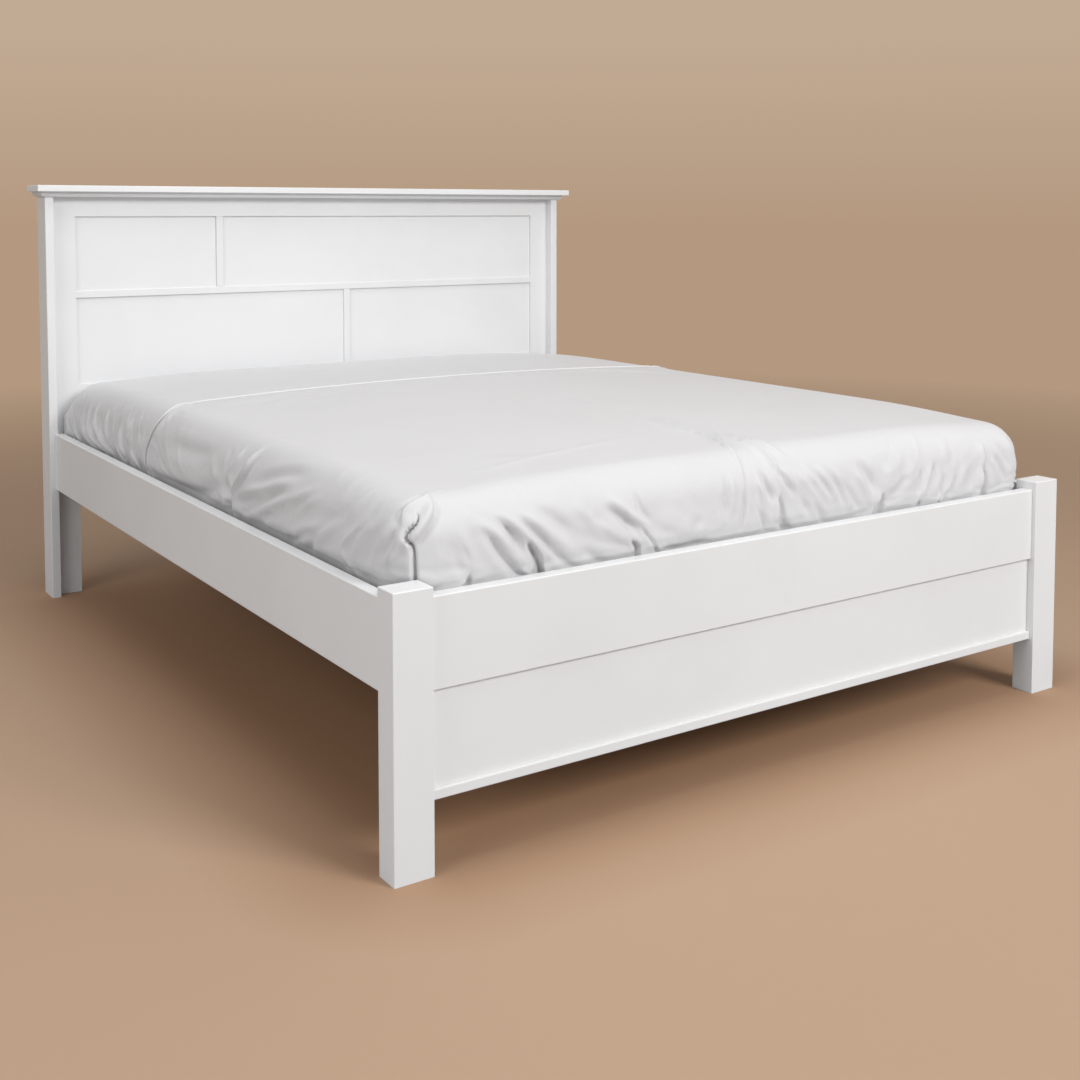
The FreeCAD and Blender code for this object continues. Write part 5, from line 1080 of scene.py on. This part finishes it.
class BED_OT_make_fitted_sheet(bpy.types.Operator):
    """Stretch the fitted sheet over the mattress, gathered near its head"""

    bl_idname = "bed.make_fitted_sheet"
    bl_label = "Make the fitted sheet"

    def execute(self, context):
        bedding = context.scene.bed_bedding
        form = Form(bedding)
        cotton = cotton_finish("fitted_cotton", bedding.sheet_colour, bedding)
        hem_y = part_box("top_sheet")[1].y

        def step(place):
            ring, _ = form.ring(np.array([place % form.girth]), 0.0)
            if ring[0][1] < hem_y - 0.04:
                return 0.028
            return 0.0045 if abs(ring[0][0]) > form.half_x - form.corner else 0.009

        around = spaced(0.0, form.girth, step)[:-1]
        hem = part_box("fitted_sheet")[0].z
        rows = form.rows(hem, (14, 17, 4), 0.0015)
        inner = grid_inside(form, form.round + 0.024, 0.016, low_y=hem_y - 0.05)
        inner += grid_inside(form, form.round + 0.03, 0.045, high_y=hem_y - 0.06)
        cloth = Cloth(form, around, rows, True, inner, top_gap=0.0015, share=0.0)
        # where the top sheet covers it, it lies closer to the mattress; elsewhere it swells, and it
        # fills its corners
        bare = smooth((cloth.points[:, 1] - hem_y + 0.002) / 0.05)
        hanging = smooth(cloth.down / 0.10)
        flat = cloth.out[:, :2] / np.maximum(np.linalg.norm(cloth.out[:, :2], axis=1), 1e-9)[:, None]
        swelling = form.swelling(cloth.points[:, 2], flat) * np.where(cloth.down > 0, 1.0, 0.0)
        turned = np.abs(flat).max(axis=1)
        square = 1 / np.maximum(turned, 0.5) - 1 + 0.35 * (1 - turned ** 6)
        below = smooth((form.edge - cloth.points[:, 2] - 0.03) / 0.12)
        filled = np.where(cloth.points[:, 1] > 0.5, bedding.corner_fill * square, 0.0) * below
        moved = bare * swelling * 0.95 - 0.007 * (1 - bare) * hanging
        cloth.offset += moved
        cloth.points[:, :2] += flat * (moved + bare * filled)[:, None]
        for side in ("left", "right"):
            for kind, line, width, height in GATHERS:
                cloth.fold(kind, side, line, width * GATHERS_WIDTH, height * GATHERS_HEIGHT)
        chance = np.random.default_rng(11)
        for side in ("left", "right"):
            for _ in range(34):
                y, start = chance.uniform(0.34, 0.99), chance.uniform(0.005, 0.07)
                length, lean = chance.uniform(0.03, 0.07), chance.uniform(-0.35, 0.1)
                line = ((y, start), (y + lean * length, start + length))
                kind = "ridge" if chance.random() < 0.5 else "valley"
                cloth.fold(kind, side, line, chance.uniform(0.004, 0.009), chance.uniform(0.0012, 0.003))
        for _ in range(18):
            x, start = chance.uniform(-0.70, 0.70), chance.uniform(0.03, 0.08)
            length, lean = chance.uniform(0.06, 0.12), chance.uniform(-0.4, 0.4)
            cloth.fold("ridge", "head", ((x, start), (x + lean * length, start + length)),
                       chance.uniform(0.010, 0.024), chance.uniform(0.0015, 0.003))
        for _ in range(40):
            y, start = chance.uniform(hem_y + 0.03, 0.93), chance.uniform(-1.4, -0.10)
            length, lean = chance.uniform(0.10, 0.30), chance.uniform(-0.3, 0.3)
            cloth.fold("ridge" if chance.random() < 0.6 else "valley", "left",
                       ((y, start), (y + lean * length, start + length)),
                       chance.uniform(0.010, 0.022), chance.uniform(0.0008, 0.0018))
        lowest = np.where(cloth.down > 0.02, -0.0095 * bare * hanging - 0.0058 * (1 - bare), -0.0010)
        highest = cloth.space() * bare + (0.0018 - 0.0050 * hanging) * (1 - bare)
        points = cloth.shaped(lowest, highest)
        # its filled corners stay inside the rails and off the headboard
        points[:, 0] = np.clip(points[:, 0], -form.half_x - ROOM_SIDE, form.half_x + ROOM_SIDE)
        points[:, 1] = np.minimum(points[:, 1], form.middle_y + form.half_y + ROOM_HEAD)
        sheet = mesh_piece("fitted_sheet_cotton", points, cloth.faces, cotton)
        thicken(sheet, bedding.cloth_thickness)
        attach(sheet, "bedding")
        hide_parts("fitted_sheet")
        return {"FINISHED"}


class BED_OT_make_top_sheet(bpy.types.Operator):
    """Lay the top sheet over the bed, tucked down behind the rails, with its corded hem"""

    bl_idname = "bed.make_top_sheet"
    bl_label = "Make the top sheet"

    def execute(self, context):
        bedding = context.scene.bed_bedding
        form = Form(bedding)
        cotton = cotton_finish("top_cotton", bedding.sheet_colour, bedding)
        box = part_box("top_sheet")
        hem_y, hem = box[1].y, box[0].z
        start, end = form.place("left", hem_y), form.place("right", hem_y)
        openings = []
        for side, line, *_ in TOP_DARTS:
            places = sorted(form.place(side, along) for along, _ in line)
            openings.append((places[0] - 0.009, places[-1] + 0.009))
        pleats = []
        for kind, side, line, width, *_ in TOP_FOLDS:
            if kind.startswith("pleat"):
                places = sorted(form.place(side, along) for along, _ in line)
                pleats.append((places[0] - width, places[-1] + width))

        def step(place):
            from_hem = min(place - start, end - place)
            if from_hem < 0.020:
                return 0.002
            if any(low < place < high for low, high in openings):
                return 0.0026
            if any(low < place < high for low, high in pleats):
                return 0.0032
            return 0.0070 if place < form.place("right", -0.98) else 0.0095

        around = spaced(start, end, step)
        rows = form.rows(hem, (18, 20, 4), 0.0035)
        inner = grid_inside(form, form.round + 0.022, 0.0140, high_y=hem_y - 0.030)
        span = form.half_x - form.round - 0.02
        for back in (0.003, 0.006, 0.010, 0.015, 0.022):
            inner += [(x, hem_y - back) for x in np.linspace(-span, span, int(2 * span / 0.011))]
        foot = form.middle_y - form.half_y + form.round
        for kind, side, line, *_ in TOP_FOLDS:
            upper = [(along, foot - below) for along, below in line if below < -0.018]
            if kind in ("crease", "pleat+") and side == "foot" and len(upper) > 1:
                for (x0, y0), (x1, y1) in zip(upper, upper[1:]):
                    number = int(math.hypot(x1 - x0, y1 - y0) / 0.009)
                    inner += [(x0 + (x1 - x0) * k / number + beside, y0 + (y1 - y0) * k / number)
                              for k in range(number) for beside in (-0.008, -0.004, 0.0, 0.004, 0.008)]
        cloth = Cloth(form, around, rows, False, inner, hem_y=hem_y, top_gap=0.0035)
        for kind, side, line, width, height, *ends in TOP_FOLDS:
            cloth.fold(kind, side, line, width, height * (HANGING_FOLDS if line[-1][1] > 0 else 1.0), *ends)
        for dart in TOP_DARTS:
            cloth.dart(*dart)
        chance = np.random.default_rng(5)
        for side, low, high, number in (("left", -0.9, 0.2, 30), ("foot", -0.72, 0.72, 44),
                                        ("right", -0.9, 0.2, 40)):
            for _ in range(number):
                along, top = chance.uniform(low, high), chance.uniform(0.0, 0.10)
                length, lean = chance.uniform(0.03, 0.08), chance.uniform(0.2, 0.9)
                if side == "foot" and along > 0.35:
                    lean = -lean
                cloth.fold("ridge" if chance.random() < 0.5 else "valley", side,
                           ((along, top), (along + lean * length, top + length)),
                           chance.uniform(0.005, 0.012), chance.uniform(0.0006, 0.0018))
        for _ in range(60):
            y, top = chance.uniform(-0.85, 0.22), chance.uniform(-1.35, -0.12)
            length, lean = chance.uniform(0.10, 0.36), chance.uniform(-0.3, 0.3)
            cloth.fold("ridge" if chance.random() < 0.6 else "valley", "left",
                       ((y, top), (y + lean * length, top + length)),
                       chance.uniform(0.010, 0.024), chance.uniform(0.0005, 0.0013))
        # the hem presses a narrow groove into the sheet beside it, and leans to the head as it goes down
        from_hem = hem_y - cloth.points[:, 1]
        hanging = smooth(cloth.down / 0.10)
        depth = 0.0014 + 0.013 * hanging
        groove = -depth * np.exp(-2 * ((from_hem - 0.0064) / 0.0038) ** 2)
        swell = 0.45 * depth * np.exp(-2 * ((from_hem - 0.026) / 0.014) ** 2)
        cloth.push = np.where(from_hem < 0.08, cloth.push * smooth(from_hem / 0.05) + groove + swell,
                              cloth.push)
        lean = smooth((cloth.down - 0.05) / 0.14) - 0.6 * smooth((cloth.down - 0.20) / 0.05)
        cloth.points[:, 1] += bedding.hem_lean * lean * np.exp(-(from_hem / 0.16) ** 2)
        lowest, highest = 0.0017 - 0.0055 * hanging, cloth.space()
        folds = cloth.push.copy()
        cloth.push = folds * 0.4
        loose = mesh_piece("loose_sheet", cloth.shaped(lowest, highest), cloth.faces, cotton)
        under = mesh_piece("under_sheet", cloth.points - cloth.out * 0.005, cloth.faces, cotton)
        held = np.maximum(smooth((cloth.down - 0.19) / 0.03), 0.9 * (1 - smooth(from_hem / 0.03)))
        moved = settle(loose, under, held, 14, 0.012, 0.004)
        bpy.data.objects.remove(loose)
        bpy.data.objects.remove(under)
        outwards = (moved * cloth.out).sum(axis=1) * smooth(from_hem / 0.05)
        cloth.push = folds + np.clip(outwards, -0.002, 0.003)
        points = cloth.shaped(lowest, highest)
        sheet = mesh_piece("top_sheet_cotton", points, cloth.faces, cotton)
        edge = [r * cloth.count for r in reversed(range(cloth.rows))]
        top_line = [k for k in range(cloth.skirt, len(points)) if abs(from_hem[k]) < 1e-5]
        top_line.sort(key=lambda k: points[k, 0])
        edge += top_line + [(r + 1) * cloth.count - 1 for r in range(cloth.rows)]
        line = [tuple(points[k] + cloth.out[k] * 0.0014) for k in edge]
        thicken(sheet, bedding.cloth_thickness)
        # the hem's cotton is lighter than the sheets': partly the thicker cloth, partly a painted highlight
        # along the cord
        hem_cotton = cotton_finish("hem_cotton", bedding.hem_colour_and_highlight, bedding)
        hem_cord = cord_along("top_sheet_hem", line, bedding.hem_radius, hem_cotton)
        for piece in (sheet, hem_cord):
            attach(piece, "bedding")
        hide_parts("top_sheet")
        return {"FINISHED"}


def lamp(name, place, target, power, size, colour):
    data = bpy.data.lights.new(name, "AREA")
    data.shape = "RECTANGLE"
    data.size, data.size_y = size
    data.energy = power
    data.color = colour
    made = bpy.data.objects.new(name, data)
    bpy.context.scene.collection.objects.link(made)
    made.location = place
    made.rotation_euler = (Vector(target) - Vector(place)).to_track_quat("-Z", "Y").to_euler()
    return made


def seen_rays(tree):
    """1 for the rays that show the background: the camera's, and those mirrored or let through."""
    path = tree.nodes.new("ShaderNodeLightPath")
    seen = path.outputs["Is Camera Ray"]
    for name in ("Is Glossy Ray", "Is Transmission Ray"):
        larger = tree.nodes.new("ShaderNodeMath")
        larger.operation = "MAXIMUM"
        tree.links.new(seen, larger.inputs[0])
        tree.links.new(path.outputs[name], larger.inputs[1])
        seen = larger.outputs[0]
    return seen


class BED_OT_set_stage(bpy.types.Operator):
    """Put down the floor, the lamps and the camera"""

    bl_idname = "bed.set_stage"
    bl_label = "Set the stage"

    def execute(self, context):
        stage = context.scene.bed_stage
        scene = context.scene
        bpy.ops.object.select_all(action="DESELECT")
        bpy.ops.mesh.primitive_plane_add(size=60, location=(0, 0, 0))
        floor = context.object
        floor.name = floor.data.name = "floor"
        finish = Finish("floor_surface")
        finish.set(Roughness=0.75)
        ray = seen_rays(finish.tree)
        cloud = finish.noise(finish.place(), 0.6, 2.0)
        seen = finish.ramp(cloud, [(0.3, shade(stage.floor_colour, 0.98)), (0.7, stage.floor_colour)])
        # painted shadow: under the bed, where its shadow falls, the floor is painted a darker, browner
        # colour, which fades out over under_edge round it
        under_half, under_edge = (("X", 0.72), ("Y", 0.92)), 0.40
        parts = finish.node("ShaderNodeSeparateXYZ", {"Vector": finish.place()})
        beyond = []
        for axis, half in under_half:
            reach = finish.node("ShaderNodeMath", {0: parts.outputs[axis]}, operation="ABSOLUTE")
            outside = finish.node("ShaderNodeMath", {0: reach.outputs[0], 1: half}, operation="SUBTRACT")
            beyond.append(finish.node("ShaderNodeMath", {0: outside.outputs[0], 1: 0.0},
                                      operation="MAXIMUM").outputs[0])
        gap = finish.node("ShaderNodeVectorMath", {0: finish.node(
            "ShaderNodeCombineXYZ", {"X": beyond[0], "Y": beyond[1]}).outputs[0]}, operation="LENGTH")
        painted_shadow_share = finish.spread(gap.outputs["Value"], 1.0, 0.0, 0.0, under_edge)
        seen = finish.node("ShaderNodeMix", {"Factor": painted_shadow_share, "A": seen, "B": (*stage.painted_shadow_colour, 1)},
                           data_type="RGBA").outputs["Result"]
        thrown = finish.node("ShaderNodeMix", {"Factor": ray, "A": (*stage.bounce_colour, 1), "B": seen},
                             data_type="RGBA")
        finish.link(thrown.outputs["Result"], "Base Color")
        # far from the bed the floor fades into the backdrop's colour
        fade_start, fade_end = 2.4, 6.0
        distance = finish.node("ShaderNodeVectorMath", {0: finish.place()}, operation="LENGTH")
        far = finish.spread(distance.outputs["Value"], 0.0, 1.0, fade_start, fade_end)
        glow = finish.node("ShaderNodeEmission", {"Color": (*stage.backdrop_colour, 1)})
        fade = finish.node("ShaderNodeMath", {0: far, 1: ray}, operation="MULTIPLY")
        mix = finish.node("ShaderNodeMixShader", {"Fac": fade.outputs[0], 1: finish.shader.outputs[0],
                                                  2: glow.outputs[0]})
        finish.tree.links.new(mix.outputs[0], finish.tree.nodes["Material Output"].inputs["Surface"])
        floor.data.materials.append(finish.material)

        lamp("key_lamp", (1.3, -5.4, 3.4), (0.0, 0.0, 0.5), stage.key_power, (2.0, 1.8),
             (1.0, 0.995, 0.985))
        lamp("fill_lamp", (-4.4, -1.6, 2.4), (0.0, 0.0, 0.5), stage.fill_power, (2.4, 2.4),
             (0.99, 0.995, 1.0))
        lamp("top_lamp", (-0.5, -0.7, 4.2), (0.0, 0.0, 0.4), stage.top_power, (3.0, 3.0),
             (1.0, 0.995, 0.99))

        world = bpy.data.worlds.new("room")
        world.use_nodes = True
        scene.world = world
        tree = world.node_tree
        room = tree.nodes["Background"]
        room.inputs["Color"].default_value = (1.0, 0.995, 0.99, 1)
        room.inputs["Strength"].default_value = stage.world_strength
        # the backdrop is a little lighter higher up
        wall = tree.nodes.new("ShaderNodeBackground")
        direction = tree.nodes.new("ShaderNodeTexCoord")
        parts = tree.nodes.new("ShaderNodeSeparateXYZ")
        height = tree.nodes.new("ShaderNodeMapRange")
        height.inputs["From Min"].default_value = -0.01
        height.inputs["From Max"].default_value = 0.12
        tints = tree.nodes.new("ShaderNodeValToRGB")
        tints.color_ramp.elements[0].color = (*stage.backdrop_colour, 1)
        tints.color_ramp.elements[1].color = (*stage.upper_colour, 1)
        tree.links.new(direction.outputs["Generated"], parts.inputs["Vector"])
        tree.links.new(parts.outputs["Z"], height.inputs["Value"])
        tree.links.new(height.outputs["Result"], tints.inputs["Fac"])
        tree.links.new(tints.outputs["Color"], wall.inputs["Color"])
        mix = tree.nodes.new("ShaderNodeMixShader")
        tree.links.new(seen_rays(tree), mix.inputs["Fac"])
        tree.links.new(room.outputs["Background"], mix.inputs[1])
        tree.links.new(wall.outputs["Background"], mix.inputs[2])
        tree.links.new(mix.outputs["Shader"], tree.nodes["World Output"].inputs["Surface"])

        data = bpy.data.cameras.new("camera")
        data.sensor_width = 36.0
        data.lens = stage.camera_lens
        data.shift_y = stage.camera_shift
        data.clip_end = 200.0
        camera = bpy.data.objects.new("camera", data)
        scene.collection.objects.link(camera)
        camera.location = stage.camera_place
        camera.rotation_euler = (math.pi / 2 - stage.camera_pitch, 0, -stage.camera_yaw)
        scene.camera = camera
        scene.view_settings.view_transform = "Standard"
        return {"FINISHED"}


class BED_PT_panel(bpy.types.Panel):
    """The bed's steps, in the order in which they run"""

    bl_idname = "BED_PT_panel"
    bl_label = "Panel bed"
    bl_space_type = "VIEW_3D"
    bl_region_type = "UI"
    bl_category = "Panel bed"

    def draw(self, context):
        for operator in STEPS:
            self.layout.operator(operator.bl_idname)


STEPS = (BED_OT_paint_boards, BED_OT_finish_wood, BED_OT_finish_fittings, BED_OT_make_mattress,
         BED_OT_make_fitted_sheet, BED_OT_make_top_sheet, BED_OT_set_stage)
SETTINGS = {"bed_boards": BoardSettings, "bed_bedding": BeddingSettings, "bed_stage": StageSettings}
CLASSES = (*SETTINGS.values(), *STEPS, BED_PT_panel)


def register():
    for cls in CLASSES:
        bpy.utils.register_class(cls)
    for name, cls in SETTINGS.items():
        setattr(bpy.types.Scene, name, bpy.props.PointerProperty(type=cls))


def unregister():
    for name in SETTINGS:
        delattr(bpy.types.Scene, name)
    for cls in reversed(CLASSES):
        bpy.utils.unregister_class(cls)


def main():
    register()
    bpy.ops.bed.paint_boards()
    bpy.ops.bed.finish_wood()
    bpy.ops.bed.finish_fittings()
    bpy.ops.bed.make_mattress()
    bpy.ops.bed.make_fitted_sheet()
    bpy.ops.bed.make_top_sheet()
    bpy.ops.bed.set_stage()


if __name__ == "__main__":
    main()
